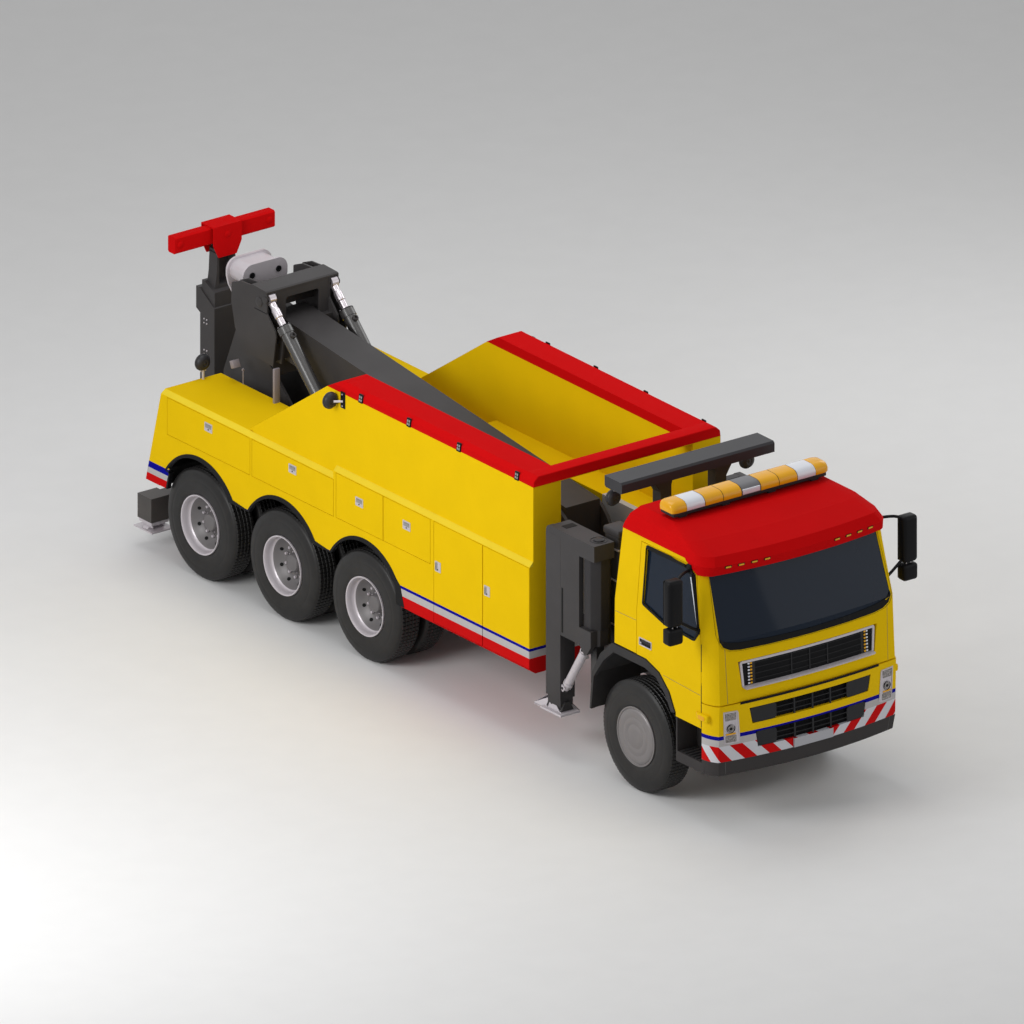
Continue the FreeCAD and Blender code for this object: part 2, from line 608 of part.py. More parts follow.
beam = block("FrontBeam", ("-kingpinX + 40", "kingpinX - 40"), ("-55", "55"),
             ("wheelRadius - 75", "wheelRadius + 40"))
beam_eyes = [
    round_bar(f"BeamEye{index}", "Z", "58", ("wheelRadius - 75", "wheelRadius + 62"),
              (f"{side} * kingpinX", "0")) for index, side in enumerate((1, -1))]
kingpins = [
    round_bar(f"Kingpin{index}", "Z", "kingpinRadius", ("wheelRadius - 130", "wheelRadius + 118"),
              (f"{side} * kingpinX", "0")) for index, side in enumerate((1, -1))]
node("front_axle", join("FrontAxle", [beam] + beam_eyes + kingpins
                        + spring("FrontSpring", "0", "760", "wheelRadius + 25")))

knuckle_lugs = [
    block("KnuckleTop", ("kingpinX - 55", "kingpinX + 110"), ("-52", "52"),
          ("wheelRadius + 68", "wheelRadius + 112")),
    block("KnuckleFoot", ("kingpinX - 55", "kingpinX + 110"), ("-52", "52"),
          ("wheelRadius - 124", "wheelRadius - 81")),
    block("KnucklePlate", ("kingpinX + 66", "kingpinX + 110"), ("-52", "52"),
          ("wheelRadius - 124", "wheelRadius + 112")),
    round_bar("Spindle", "X", "hubBore - fitGap", ("kingpinX + 70", "kingpinX + 250"),
              ("0", "wheelRadius")),
]
knuckle = cut("KnuckleLeft", join("KnuckleBody", knuckle_lugs), [
    round_bar("KnuckleBore", "Z", "kingpinRadius + fitGap",
              ("wheelRadius - 200", "wheelRadius + 200"), ("kingpinX", "0"))])
node("knuckle_left", knuckle)
node("knuckle_right", mirrored("KnuckleRight", knuckle))

twin_middle = "rearTyreFace - tyreWidth - twinGap / 2"
axle_end = f"({twin_middle} + 95)"
tube_end = f"({twin_middle} - 170)"
axle_casing = (
    (f"-{axle_end}", "0"), (f"-{axle_end}", "hubBore - fitGap"),
    (f"-{tube_end}", "hubBore - fitGap"), (f"-{tube_end}", "68"), ("-228", "68"),
    ("-195", "105"), ("0", "215", "arc"), ("195", "105"), ("228", "68"), (tube_end, "68"),
    (tube_end, "hubBore - fitGap"), (axle_end, "hubBore - fitGap"), (axle_end, "0"))
rear_axle_solids = []
for index, axle in enumerate(("axleTwo", "axleThree", "axleFour")):
    casing = turned(f"AxleCasing{index}", axle_casing, "0", axle, "wheelRadius")
    nose = round_bar(f"AxleNose{index}", "Y", "95", (f"{axle} - 330", axle),
                     ("0", "wheelRadius + 40"))
    rear_axle_solids.append(join(f"RearAxle{index}", [casing, nose] + spring(
        f"RearSpring{index}", axle, "560", "wheelRadius + 50")))
node("rear_axles", group("RearAxles", rear_axle_solids))

engine = join("Engine", [
    block("EngineBlock", ("-railOuter + railWidth + fitGap", "railOuter - railWidth - fitGap"),
          ("-880", "540"), ("760", "1400")),
    slanted_bar("PropShaft", "48", "0", ("520", "830"), ("axleTwo - 334", "wheelRadius + 40"))])
node("engine_block", engine)

# ---------------------------------------------------------------- wheels
def tyre_profile(low, high):
    """A tyre's section from one face to the other along the axle."""
    return (
        (f"{low} + 17", "beadRadius + fitGap"), (f"{high} - 17", "beadRadius + fitGap"),
        (f"{high} - 15.5", "flangeRadius + 8"),
        (f"{high}", "(beadRadius + wheelRadius) / 2", "arc"),
        (f"{high} - 22", "wheelRadius - shoulder"), (f"{high} - 28", "wheelRadius - 15", "arc"),
        (f"{high} - 62", "wheelRadius"), (f"{low} + 62", "wheelRadius"),
        (f"{low} + 28", "wheelRadius - 15", "arc"), (f"{low} + 22", "wheelRadius - shoulder"),
        (f"{low}", "(beadRadius + wheelRadius) / 2", "arc"), (f"{low} + 15.5", "flangeRadius + 8"),
    )


twin_rim = (
    ("tyreWidth + 25", "flangeRadius"), ("tyreWidth + 25", "flangeRadius - 14"),
    ("tyreWidth - 8", "beadRadius - 10"), ("85", "beadRadius - 22"), ("62", "beadRadius - 50"),
    ("70", "165"), ("170", "118"), ("196", "96"), ("200", "0"), ("110", "0"),
    ("110", "hubBore"), ("-152", "hubBore"), ("-152", "130"), ("-40", "140"),
    ("-30", "beadRadius - 30"), ("-tyreWidth", "beadRadius - 12"),
    ("-tyreWidth - 25", "flangeRadius - 14"), ("-tyreWidth - 25", "flangeRadius"),
    ("-tyreWidth - 5", "flangeRadius"), ("-tyreWidth - 5", "beadRadius"),
    ("tyreWidth + 5", "beadRadius"), ("tyreWidth + 5", "flangeRadius"),
)
steer_rim = (
    ("steerTyreWidth / 2 - 2", "flangeRadius"), ("steerTyreWidth / 2 + 2", "flangeRadius - 22"),
    ("steerTyreWidth / 2 + 6", "0"), ("95", "0"), ("95", "hubBore"), ("-56", "hubBore"),
    ("-56", "120"), ("20", "140"), ("20", "beadRadius - 20"),
    ("-steerTyreWidth / 2 + 10", "beadRadius - 14"),
    ("-steerTyreWidth / 2 + 2", "flangeRadius - 6"), ("-steerTyreWidth / 2 + 2", "flangeRadius"),
    ("-steerTyreWidth / 2 + 14", "flangeRadius"), ("-steerTyreWidth / 2 + 14", "beadRadius"),
    ("steerTyreWidth / 2 - 14", "beadRadius"), ("steerTyreWidth / 2 - 14", "flangeRadius"),
)
wheels = [
    # name, axle, middle of the wheel from the centre line, rim, tyres as (low, high)
    ("front", "0", "steerTyreFace - steerTyreWidth / 2", steer_rim,
     (("-steerTyreWidth / 2", "steerTyreWidth / 2"),)),
] + [
    (f"{label}_rear", axle, twin_middle, twin_rim,
     (("twinGap / 2", "tyreWidth + twinGap / 2"), ("-tyreWidth - twinGap / 2", "-twinGap / 2")))
    for label, axle in (("first", "axleTwo"), ("second", "axleThree"), ("third", "axleFour"))
]
for label, axle, middle, rim_profile, tyres in wheels:
    where = (middle, axle, "wheelRadius")
    pieces = [turned(label + "Rim", rim_profile, *where)]
    pieces += [turned(f"{label}Tyre{index}", tyre_profile(*limits), *where)
               for index, limits in enumerate(tyres)]
    wheel = group(label + "Wheel", pieces)
    node(f"wheel_{label}_left", wheel)
    node(f"wheel_{label}_right", mirrored(label + "WheelRight", wheel))

# ---------------------------------------------------------------- recovery body
lower_side = (
    ("bodyFront", "skirtBottom"), ("bodyFront", "ledgeTop"), ("ledgeStep", "ledgeTop"),
    ("ledgeStep", "rearLedgeTop"), ("tailTop", "rearLedgeTop"), ("tailBottom", "tailLow"),
    ("axleFour + 603", "tailLow"), ("axleFour + 570", "archValley"),
    ("axleTwo - 590", "archValley"), ("axleTwo - 665", "skirtBottom + 58"),
    ("axleTwo - 760", "skirtBottom"),
)
upper_side = (
    ("bodyFront", "rearLedgeTop - 10"), ("bodyFront", "binTop"), ("binRear", "binTop"),
    ("binRear + 1370", "rearLedgeTop"), ("binRear + 1370", "rearLedgeTop - 10"),
)
cap_section = (
    ("binInner", "binTop"), ("binOuter", "binTop"), ("binOuter - 8", "binTop + 62"),
    ("binOuter - 62", "capTop"), ("binInner", "capTop"),
)
lower_box = prism("LowerBox", "YZ", lower_side, "deckInner", "bodyHalf")
upper_bin = prism("UpperBin", "YZ", upper_side, "binInner", "binOuter")
cap = prism("BinCap", "XZ", cap_section, "bodyFront", "binRear - 60")
ledge_cuts = [
    prism("LedgeCut", "XZ", (("bodyHalf + 5", "ledgeLow"), ("bodyHalf", "ledgeLow"),
                             ("binOuter", "ledgeTop"), ("binOuter", "ledgeTop + 5"),
                             ("bodyHalf + 5", "ledgeTop + 5")), "bodyFront - 5", "ledgeStep"),
    prism("RearLedgeCut", "XZ", (("bodyHalf + 5", "rearLedgeLow"), ("bodyHalf", "rearLedgeLow"),
                                 ("binOuter", "rearLedgeTop"), ("binOuter", "rearLedgeTop + 5"),
                                 ("bodyHalf + 5", "rearLedgeTop + 5")),
          "ledgeStep", "tailBottom + 10"),
    prism("SkirtTuck", "XZ", (("bodyHalf + 5", "skirtEdge"), ("bodyHalf", "skirtEdge"),
                              ("bodyHalf - 75", "skirtBottom"), ("bodyHalf - 75", "skirtBottom - 5"),
                              ("bodyHalf + 5", "skirtBottom - 5")),
          "bodyFront - 5", "axleTwo - 600"),
]
arches = [
    round_bar(f"ArchCut{index}", "X", "archSpan", ("deckInner + bodySkin", "bodyHalf + 10"),
              (axle, "archCentre"))
    for index, axle in enumerate(("axleTwo", "axleThree", "axleFour"))
]
arch_room = block("ArchRoom", ("deckInner + bodySkin", "bodyHalf - bodySkin"),
                  ("axleTwo - 560", "axleFour + 545"), ("archValley - 10", "archValley + 180"))
# door, rear edge, front edge, bottom, top, hinge
lockers = (
    ("locker_a", "8039", "6603", "1478", "1888", "flap"),
    ("locker_b", "6563", "5146", "1478", "1888", "flap"),
    ("locker_c", "5095", "4284", "1483", "1979", "flap"),
    ("locker_d", "4272", "3457", "1483", "1979", "flap"),
    ("locker_e", "3391", "2543 + lockerGap / 2", "846", "1979", "tall"),
    ("locker_f", "2543 - lockerGap / 2", "1731", "846", "1979", "tall"),
)
rooms = []
locker_doors = []
for name, rear, front, bottom, top, kind in lockers:
    title = name.title().replace("_", "")
    rooms.append(block(title + "Mouth", ("bodyHalf - doorThick - fitGap", "bodyHalf + 5"),
                       (f"{front} - panelGap", f"{rear} + panelGap"),
                       (f"{bottom} - panelGap", f"{top} + panelGap")))
    rooms.append(block(title + "Room", ("bodyHalf - lockerDepth", "bodyHalf - doorThick"),
                       (f"{front} + lockerLip", f"{rear} - lockerLip"),
                       (f"{bottom} + lockerLip", f"{top} - lockerLip")))
    door = block(title + "Door", ("bodyHalf - doorThick", "bodyHalf"), (front, rear),
                 (bottom, top))
    locker_doors.append((name, door))
side_form = join("SideForm", [cut("LowerTrimmed", lower_box, ledge_cuts), upper_bin, cap])
bin_room = prism("BinRoom", "YZ", (
    ("bodyFront + bodySkin", "rearLedgeTop + 95"), ("bodyFront + bodySkin", "binTop"),
    ("binRear - 25", "binTop"), ("binRear + 1190", "rearLedgeTop + 95")),
    "binInner + bodySkin", "binOuter - bodySkin")
inner_room = block("InnerRoom", ("deckInner + bodySkin", "bodyHalf - lockerDepth - bodySkin"),
                   ("bodyFront + bodySkin", "tailTop - 60"), ("archValley + 330", "rearLedgeTop - bodySkin"))
body_left = cut("BodyLeft", side_form, arches + rooms + [arch_room, bin_room, inner_room])
node("body_left", body_left)
node("body_right", mirrored("BodyRight", body_left))
for name, door in locker_doors:
    node(f"{name}_left", door)
    node(f"{name}_right", mirrored(door.Name + "Right", door))

cross_rail = prism("CrossRail", "YZ", (
    ("bodyFront", "binTop"), ("bodyFront", "binTop + 62"), ("bodyFront + 40", "capTop"),
    ("bodyFront + crossRailDepth", "capTop"), ("bodyFront + crossRailDepth", "binTop")),
    "-(binInner - fitGap)", "binInner - fitGap")
deck_floors = [
    block(f"DeckFloor{index}", ("-(deckInner - fitGap)", "deckInner - fitGap"), limits,
          ("railTop", "railTop + 40"))
    for index, limits in enumerate((("bodyFront + 40", "boomPivotY - 338"),
                                    ("boomPivotY + 428", "axleThree - 500")))]
bearers_low = [
    block(f"BodyBearer{index}", ("-(deckInner - fitGap)", "deckInner - fitGap"),
          (f"{where} - 45", f"{where} + 45"), ("railTop", "railTop + 90"))
    for index, where in enumerate(("1850", "3300", "4700", "6300", "6800"))]
bulkhead = block("Bulkhead", ("-(deckInner - fitGap)", "deckInner - fitGap"),
                 ("bodyFront + 40", "bodyFront + 60"), ("railTop", "1960"))
node("body_deck", group("BodyDeck", [join("DeckParts", deck_floors + [bulkhead] + bearers_low),
                                     cross_rail]))

# ---------------------------------------------------------------- light gantry
beam_up = prism("GantryBeam", "YZ", (
    ("479", "3150"), ("479", "3248"), ("500", "3270"), ("780", "3270"), ("780", "3165"),
    ("760", "3144"), ("500", "3144")), "-1000", "1000")
gantry_posts = [
    prism(f"GantryPost{side}", "XZ", (
        (f"{side} * 290", "1500"), (f"{side} * 430", "1500"), (f"{side} * 430", "3000"),
        (f"{side} * 520", "3146"), (f"{side} * 270", "3146"), (f"{side} * 290", "3060")),
        "560", "700")
    for side in (-1, 1)]
gantry_feet = pair("GantryFoot", ("290", "430"), ("560", "700"), ("railTop", "1500"))
node("light_gantry", join("LightGantry", [beam_up] + gantry_posts + gantry_feet))

# ---------------------------------------------------------------- boom and its mast frame
def boom_z(y, above="0"):
    """Height of the boom's centre line at a distance from the front axle."""
    return f"boomPivotZ + (({y}) - boomPivotY) * boomSlope + ({above})"


def boom_box(name, half, deep, front, rear):
    """A box section along the boom's slope."""
    return prism(name, "YZ", (
        (front, boom_z(front, f"-({deep}) / 2")), (rear, boom_z(rear, f"-({deep}) / 2")),
        (rear, boom_z(rear, f"({deep}) / 2")), (front, boom_z(front, f"({deep}) / 2"))),
        f"-({half})", half)


boom_tube = cut("BoomTube", boom_box("BoomOuter", "boomHalf", "boomDeep", "boomPivotY - 110",
                                     "boomEnd"),
                [boom_box("BoomInner", "boomHalf - boomWall", "boomDeep - 2 * boomWall",
                          "boomPivotY + 140", "boomEnd - 40")])
head_outline = (
    ("7272", "2290"), ("7572", "2305"), ("7740", "2280"), ("7930", "2520"), ("7998", "2800"),
    ("7992", "3006"), ("7985", "3017"), ("7839", "3078"), ("7650", "3090"),
    ("7376", "3066"), ("7376", "2850"), ("7232", "2690"), ("7217", "2636"))
head_plates = [
    prism(f"HeadPlate{index}", "YZ", head_outline, low, high)
    for index, (low, high) in enumerate((
        ("headHalf - 17", "headHalf"), ("-headHalf", "-headHalf + 17"),
        ("eyeX - eyeWidth / 2 - 28", "eyeX - eyeWidth / 2 - 6"),
        ("-(eyeX - eyeWidth / 2 - 6)", "-(eyeX - eyeWidth / 2 - 28)")))]
head_webs = pair("HeadWeb", ("boomHalf - 2", "eyeX - eyeWidth / 2 - 20"), ("7300", "7560"),
                 ("2330", "2700")) + pair("HeadFoot", ("boomHalf - 2", "headHalf - 5"),
                                          ("7300", "7560"), ("2330", "2520"))
head_cap = prism("HeadCap", "YZ", (
    ("7376", "3070"), ("7376", "3088"), ("7400", "3096"), ("7640", "3104"), ("7655", "3098"),
    ("7655", "3078")), "-headHalf", "headHalf")
inner_half = "(eyeX - eyeWidth / 2 - 8)"
head_web = prism("HeadFront", "XZ", (
    (f"-{inner_half}", "3080"), (inner_half, "3080"), (inner_half, "2600"),
    ("boomHalf - 4", "2600"), ("boomHalf - 4", "2955"), ("boomHalf - 24", "2980"),
    ("-(boomHalf - 24)", "2980"), ("-(boomHalf - 4)", "2955"), ("-(boomHalf - 4)", "2600"),
    (f"-{inner_half}", "2600")), "7380", "7398")
head_back = prism("HeadBack", "XZ", (
    (f"-{inner_half}", "3085"), (inner_half, "3085"), (inner_half, "2780"),
    (f"-{inner_half}", "2780")), "7630", "7650")
sheave_stem = join("SheaveStem", [
    block("StemFoot", ("-150", "150"), ("8000", "8330"), ("2450", "2640 - fitGap")),
    block("StemTop", ("-150", "150"), ("8056 + fitGap", "8304 - fitGap"), ("2630", "2866"))])
boom_tongue = boom_box("BoomTongue", "150", "300", "boomEnd - 60", "8030 - fitGap")
boom = join("Boom", [boom_tube, boom_tongue, head_cap, head_web, head_back, sheave_stem]
            + head_plates + head_webs)
boom_pin = round_bar("BoomPinBore", "X", "45 + fitGap", ("-600", "600"),
                     ("boomPivotY", "boomPivotZ"))
node("boom", cut("BoomBored", boom, [boom_pin]))

sheave_plate = (
    ("-292", "2940"), ("-268", "2840"), ("-200", "2700"), ("-152", "2642"), ("152", "2642"),
    ("200", "2700"), ("268", "2840"), ("292", "2940"), ("292", "3000"), ("262", "3080", "arc"),
    ("180", "3125"), ("-180", "3125"), ("-262", "3080", "arc"), ("-292", "3000"))
sheave_plates = [
    prism(f"SheavePlate{index}", "XZ", sheave_plate, low, high)
    for index, (low, high) in enumerate((("8030", "8056"), ("8304", "8330")))]
sheave_wrap = prism("SheaveWrap", "XZ", (
    ("-140", "2867"), ("140", "2867"), ("258", "2985", "arc"), ("140", "3103"),
    ("-140", "3103"), ("-258", "2985", "arc")), "8050", "8310")
sheave_bores = [
    round_bar(f"SheaveBore{side}", "Y", "27", ("8000", "8360"), (f"{side} * 173", "3003"))
    for side in (-1, 1)]
node("sheave_block", cut("SheaveBlock", join("SheaveBody", sheave_plates + [sheave_wrap]),
                         sheave_bores))

mast_side = (
    ("boomPivotY - 330", "railTop"), ("boomPivotY + 420", "railTop"),
    ("boomPivotY + 420", "1500"), ("boomPivotY + 130", "2050"), ("boomPivotY + 60", "2120", "arc"),
    ("boomPivotY - 60", "2120"), ("boomPivotY - 160", "2050", "arc"),
    ("boomPivotY - 330", "1700"))
mast_cheeks = [
    prism(f"MastCheek{index}", "YZ", mast_side, low, high)
    for index, (low, high) in enumerate((
        ("boomHalf + 8", "boomHalf + 48"), ("-boomHalf - 48", "-boomHalf - 8")))]
mast_base = block("MastBase", ("-boomHalf - 48", "boomHalf + 48"),
                  ("boomPivotY - 330", "boomPivotY + 420"), ("railTop", "railTop + 60"))
mast_feet = pair("MastFoot", ("boomHalf + 8", "railOuter"), ("boomPivotY - 330", "boomPivotY + 420"),
                 ("railTop", "railTop + 30"))
mast_pin = round_bar("BoomPin", "X", "45", ("-boomHalf - 60", "boomHalf + 60"),
                     ("boomPivotY", "boomPivotZ"))
gear_plates = [
    prism(f"GearPlate{index}", "YZ", (
        ("6900", "railTop"), ("8400", "railTop"), ("8400", "1850"), ("8185", "2372"),
        ("8050", "2372"), ("7720", "2240"), ("7560", "2130"), ("7300", "1900"),
        ("6900", "1500")), low, high)
    for index, (low, high) in enumerate((("240", "268"), ("-268", "-240")))]
gear_ties = [block("GearTie", ("-250", "250"), ("8330", "8400"), ("railTop", "1560")),
             block("GearTieFront", ("-250", "250"), ("6900", "6960"), ("railTop", "1500"))]
gear_feet = pair("GearFoot", ("260", "deckInner - fitGap"), ("6900", "8400"),
                 ("railTop", "railTop + 25"))
saddle = block("BoomSaddle", ("-250", "250"), ("7560", "7700"),
               ("2030", boom_z("7560", "-boomDeep / 2 - 6")))
base_lugs = [
    block(f"BaseLug{index}", (f"eyeX + {gap}", f"eyeX + {gap} + 16"),
          ("baseEyeY - 80", "baseEyeY + 80"), ("railTop", "baseEyeZ + 60"))
    for index, gap in enumerate(("-eyeWidth / 2 - 22", "eyeWidth / 2 + 6"))]
base_foot = block("BaseFoot", ("railOuter - railWidth", "deckInner - fitGap"),
                  ("baseEyeY - 100", "baseEyeY + 100"), ("railTop", "railTop + 25"))
base_pin = round_bar("BasePin", "X", "30", ("eyeX - 58", "eyeX + 58"), ("baseEyeY", "baseEyeZ"))
base_stand = join("BaseStand", base_lugs + [base_foot, base_pin])
mast = group("MastFrame", [
    join("FrontMast", mast_cheeks + [mast_base, mast_pin] + mast_feet),
    join("RearGear", gear_plates + gear_ties + gear_feet + [saddle]),
    base_stand, mirrored("BaseStandRight", base_stand)])
node("recovery_frame", mast)

rod_eye = ("rodEyeY", "rodEyeZ")
base_eye = ("baseEyeY", "baseEyeZ")
run_y, run_z = "(rodEyeY - baseEyeY)", "(rodEyeZ - baseEyeZ)"
reach = f"sqrt({run_y} ^ 2 + {run_z} ^ 2)"


def on_cylinder(distance):
    """The point at a distance from the base eye towards the rod's eye."""
    return (f"baseEyeY + ({distance}) * {run_y} / {reach}",
            f"baseEyeZ + ({distance}) * {run_z} / {reach}")


barrel_tube = cut(
    "BarrelTube", slanted_bar("BarrelOuter", "barrelRadius", "eyeX", on_cylinder("130"),
                              on_cylinder("barrelLength")),
    [slanted_bar("BarrelBore", "rodRadius + fitGap", "eyeX", on_cylinder("240"),
                 on_cylinder("barrelLength + 10"))])
barrel_eye = round_bar("BarrelEye", "X", "62", ("eyeX - eyeWidth / 2", "eyeX + eyeWidth / 2"),
                       base_eye)
barrel_eye_bore = round_bar("BarrelEyeBore", "X", "30 + fitGap", ("eyeX - 90", "eyeX + 90"),
                            base_eye)
barrel_neck = slanted_bar("BarrelNeck", "eyeWidth / 2 - 2", "eyeX", base_eye, on_cylinder("140"))
barrel_gland = cut(
    "BarrelGland", slanted_bar("GlandOuter", "barrelRadius + 9", "eyeX",
                               on_cylinder("barrelLength - 90"), on_cylinder("barrelLength - 2")),
    [slanted_bar("GlandBore", "rodRadius + fitGap", "eyeX", on_cylinder("barrelLength - 120"),
                 on_cylinder("barrelLength + 10"))])
node("lift_barrels", both("LiftBarrels", cut("LiftBarrel", join("BarrelBody", [
    barrel_tube, barrel_eye, barrel_neck, barrel_gland]), [barrel_eye_bore])))
rod_bar = slanted_bar("RodBar", "rodRadius", "eyeX", on_cylinder("300"), rod_eye)
rod_end = round_bar("RodEnd", "X", "66", ("eyeX - eyeWidth / 2", "eyeX + eyeWidth / 2"), rod_eye)
node("lift_rods", both("LiftRods", join("LiftRod", [rod_bar, rod_end])))

# ---------------------------------------------------------------- under-lift
arm_outer = prism("ArmOuter", "YZ", (
    ("mastFront", "liftPivotZ + 100"), ("mastRear", "liftPivotZ + 100"),
    ("mastRear", "collarTop - 280"), ("rearReach", "collarTop - 245"), ("rearReach", "collarTop"),
    ("rearReach - 60", "collarTop"), ("mastFront", "mastTop")), "-mastHalf", "mastHalf")
arm_box = cut("ArmBox", arm_outer, [
    block("ArmBore", ("-mastHalf + mastWall", "mastHalf - mastWall"),
          ("mastFront + mastWall", "mastRear - mastWall"), ("liftPivotZ + 130", "collarTop + 50"))])
arm_lug = prism("ArmLug", "YZ", (
    ("liftPivotY - 70", "liftPivotZ - 60"), ("liftPivotY", "liftPivotZ - 92", "arc"),
    ("mastFront + 10", "liftPivotZ - 100"), ("mastFront + 10", "liftPivotZ + 260"),
    ("liftPivotY - 40", "liftPivotZ + 75")), "-130", "130")
arm_bored = cut("ArmBored", join("ArmWhole", [arm_box, arm_lug]), [
    round_bar("ArmPinBore", "X", "40 + fitGap", ("-300", "300"), ("liftPivotY", "liftPivotZ"))])
node("underlift_arm", arm_bored)
slide_front, slide_rear = "mastFront + mastWall + fitGap", "mastRear - mastWall - fitGap"
slide_tube = prism("SlideTube", "YZ", (
    (slide_front, "liftPivotZ + 700"), (slide_rear, "liftPivotZ + 700"), (slide_rear, "2690"),
    (f"{slide_rear} - 40", "2690"), (slide_front, "2604")),
    "-mastHalf + mastWall + fitGap", "mastHalf - mastWall - fitGap")
neck_outer = prism("NeckOuter", "XZ", (
    ("-155", "2590"), ("155", "2590"), ("126", "2800"), ("116", "3010"), ("-116", "3010"),
    ("-126", "2800")), "barCentreY - 86", "mastRear - 50")
slide_neck = cut("SlideNeck", neck_outer, [
    block("NeckSlot", ("-94", "94"), ("barCentreY - 90", "barCentreY + 10"), ("2665", "2985"))])
slide_head = block("SlideHead", ("-100", "100"), ("barCentreY - 60", "barCentreY + 60"),
                   ("2990", "barCentreZ - 182"))
swivel_pin = round_bar("SwivelPin", "Y", "36", ("barCentreY - 84", "barCentreY + 84"),
                       ("0", "barCentreZ"))
fork = [
    block("ForkFront", ("-70", "70"), ("barCentreY - 92", "barCentreY - 72"),
          ("2990", "barCentreZ + 50")),
    block("ForkRear", ("-70", "70"), ("barCentreY + 72", "barCentreY + 92"),
          ("2990", "barCentreZ + 50")),
    block("ForkFoot", ("-90", "90"), ("barCentreY - 92", "barCentreY + 92"),
          ("2980", "barCentreZ - 182"))]
node("underlift_slide", join("UnderliftSlide", [slide_tube, slide_neck, slide_head, swivel_pin]
                             + fork))
cross_tube = prism("CrossTube", "YZ", (
    ("barCentreY - 62", "barCentreZ - 78"), ("barCentreY - 46", "barCentreZ - 94"),
    ("barCentreY + 46", "barCentreZ - 94"), ("barCentreY + 62", "barCentreZ - 78"),
    ("barCentreY + 62", "barCentreZ + 78"), ("barCentreY + 46", "barCentreZ + 94"),
    ("barCentreY - 46", "barCentreZ + 94"), ("barCentreY - 62", "barCentreZ + 78")),
    "-barHalf", "barHalf")
sleeve = join("CrossSleeve", [
    prism(f"SleevePlate{index}", "XZ", (
        ("-sleeveHalf", "barCentreZ + 108"), ("sleeveHalf", "barCentreZ + 108"),
        ("sleeveHalf", "barCentreZ - 102"), ("118", "barCentreZ - 243"),
        ("-118", "barCentreZ - 243"), ("-sleeveHalf", "barCentreZ - 102")), low, high)
    for index, (low, high) in enumerate((("barCentreY - 110", "barCentreY - 98"),
                                         ("barCentreY + 98", "barCentreY + 110")))]
    + [block("SleeveCap", ("-sleeveHalf", "sleeveHalf"), ("barCentreY - 110", "barCentreY + 110"),
             ("barCentreZ + 93", "barCentreZ + 108"))])
bar_bores = [
    round_bar(f"BarBore{side}", "Y", "26", ("barCentreY - 200", "barCentreY + 200"),
              (f"{side} * (barHalf - 70)", "barCentreZ")) for side in (-1, 1)]
node("crossbar", cut("Crossbar", join("CrossbarBody", [cross_tube, sleeve]), [
    round_bar("SwivelBore", "Y", "36 + fitGap", ("barCentreY - 200", "barCentreY + 200"),
              ("0", "barCentreZ"))] + bar_bores))

# ---------------------------------------------------------------- outriggers
arm_plate = prism("ArmPlate", "YZ", (
    ("hingeY + 104", "1384"), ("hingeY + 15", "1292"), ("hingeY - 30", "1306"),
    ("hingeY - 98", "columnBottom + 10"), ("hingeY - 98", "columnBottom + 180"),
    ("hingeY + 104", "columnBottom + 180"), ("hingeY + 104", "columnTop - 20"),
    ("hingeY - 160", "columnTop - 15"), ("hingeY - 160", "armTop"), ("armRear - 75", "armTop"),
    ("armRear - 18", "armTop - 22", "arc"), ("armRear", "armTop - 80"), ("armRear", "1390")),
    "armOuter - armPlate", "armOuter - 1")
arm_head = block("ArmHead", ("hingeX - 100", "armOuter - 2"), ("hingeY - 158", "armRear - 60"),
                 ("columnTop - 15", "armTop - 2"))
arm_foot = block("ArmFoot", ("hingeX - 100", "armOuter - 2"), ("hingeY - 96", "armRear - 245"),
                 ("columnBottom", "columnBottom + 180"))
column_flat = "columnHalf * 0.45"
arm_column = prism("ArmColumn", "XY", tuple(
    (f"hingeX + ({u})", f"hingeY + ({v})") for u, v in (
        ("columnHalf", f"-{column_flat}"), ("columnHalf", column_flat),
        (column_flat, "columnHalf"), (f"-{column_flat}", "columnHalf"),
        ("-columnHalf", column_flat), ("-columnHalf", f"-{column_flat}"),
        (f"-{column_flat}", "-columnHalf"), (column_flat, "-columnHalf"))),
    "columnBottom", "columnTop + 10")
leg_front = "armRear - legWidth"
leg_inner = "armOuter - 190"
leg_case = block("LegCase", (leg_inner, "armOuter"), (leg_front, "armRear"),
                 ("650", "armTop - 85"))
leg_bore = block("LegBore", (f"{leg_inner} + legWall", "armOuter - legWall"),
                 (f"{leg_front} + legWall", "armRear - legWall"), ("600", "2250"))
column_bore = round_bar("ColumnBore", "Z", "pinRadius + fitGap", ("1300", "columnTop + 60"),
                        ("hingeX", "hingeY"))
strut = slanted_bar("LegStrut", "34", "armOuter - 62", ("hingeY + 55", "1345"),
                    (f"{leg_front} + 5", "748"))
arm = cut("OutriggerLeft", join("OutriggerBody", [arm_plate, arm_head, arm_foot, arm_column,
                                                        leg_case, strut]),
          [column_bore, leg_bore])
node("outrigger_left", arm)
node("outrigger_right", mirrored("OutriggerRight", arm))
leg_post = block("LegPost", (f"{leg_inner} + legWall + fitGap", "armOuter - legWall - fitGap"),
                 (f"{leg_front} + legWall + fitGap", "armRear - legWall - fitGap"), ("560", "1950"))
leg_foot = block("LegFoot", ("1035", "1285"), ("1165", "1525"), ("footBottom", "footBottom + 22"))
foot_lugs = [
    prism(f"FootLug{index}", "XZ", (("1060", "footBottom"), ("1260", "footBottom"),
                                    ("1190", "610"), ("1130", "610")), low, high)
    for index, (low, high) in enumerate((
        (f"{leg_front} - 4", f"{leg_front} + 14"), ("armRear - 14", "armRear + 4")))]
foot_neck = block("FootNeck", ("1110", "1210"), (f"{leg_front} + 10", "armRear - 10"),
                  ("footBottom + 10", "600"))
leg = join("LegLeft", [leg_post, leg_foot, foot_neck] + foot_lugs)
node("outrigger_leg_left", leg)
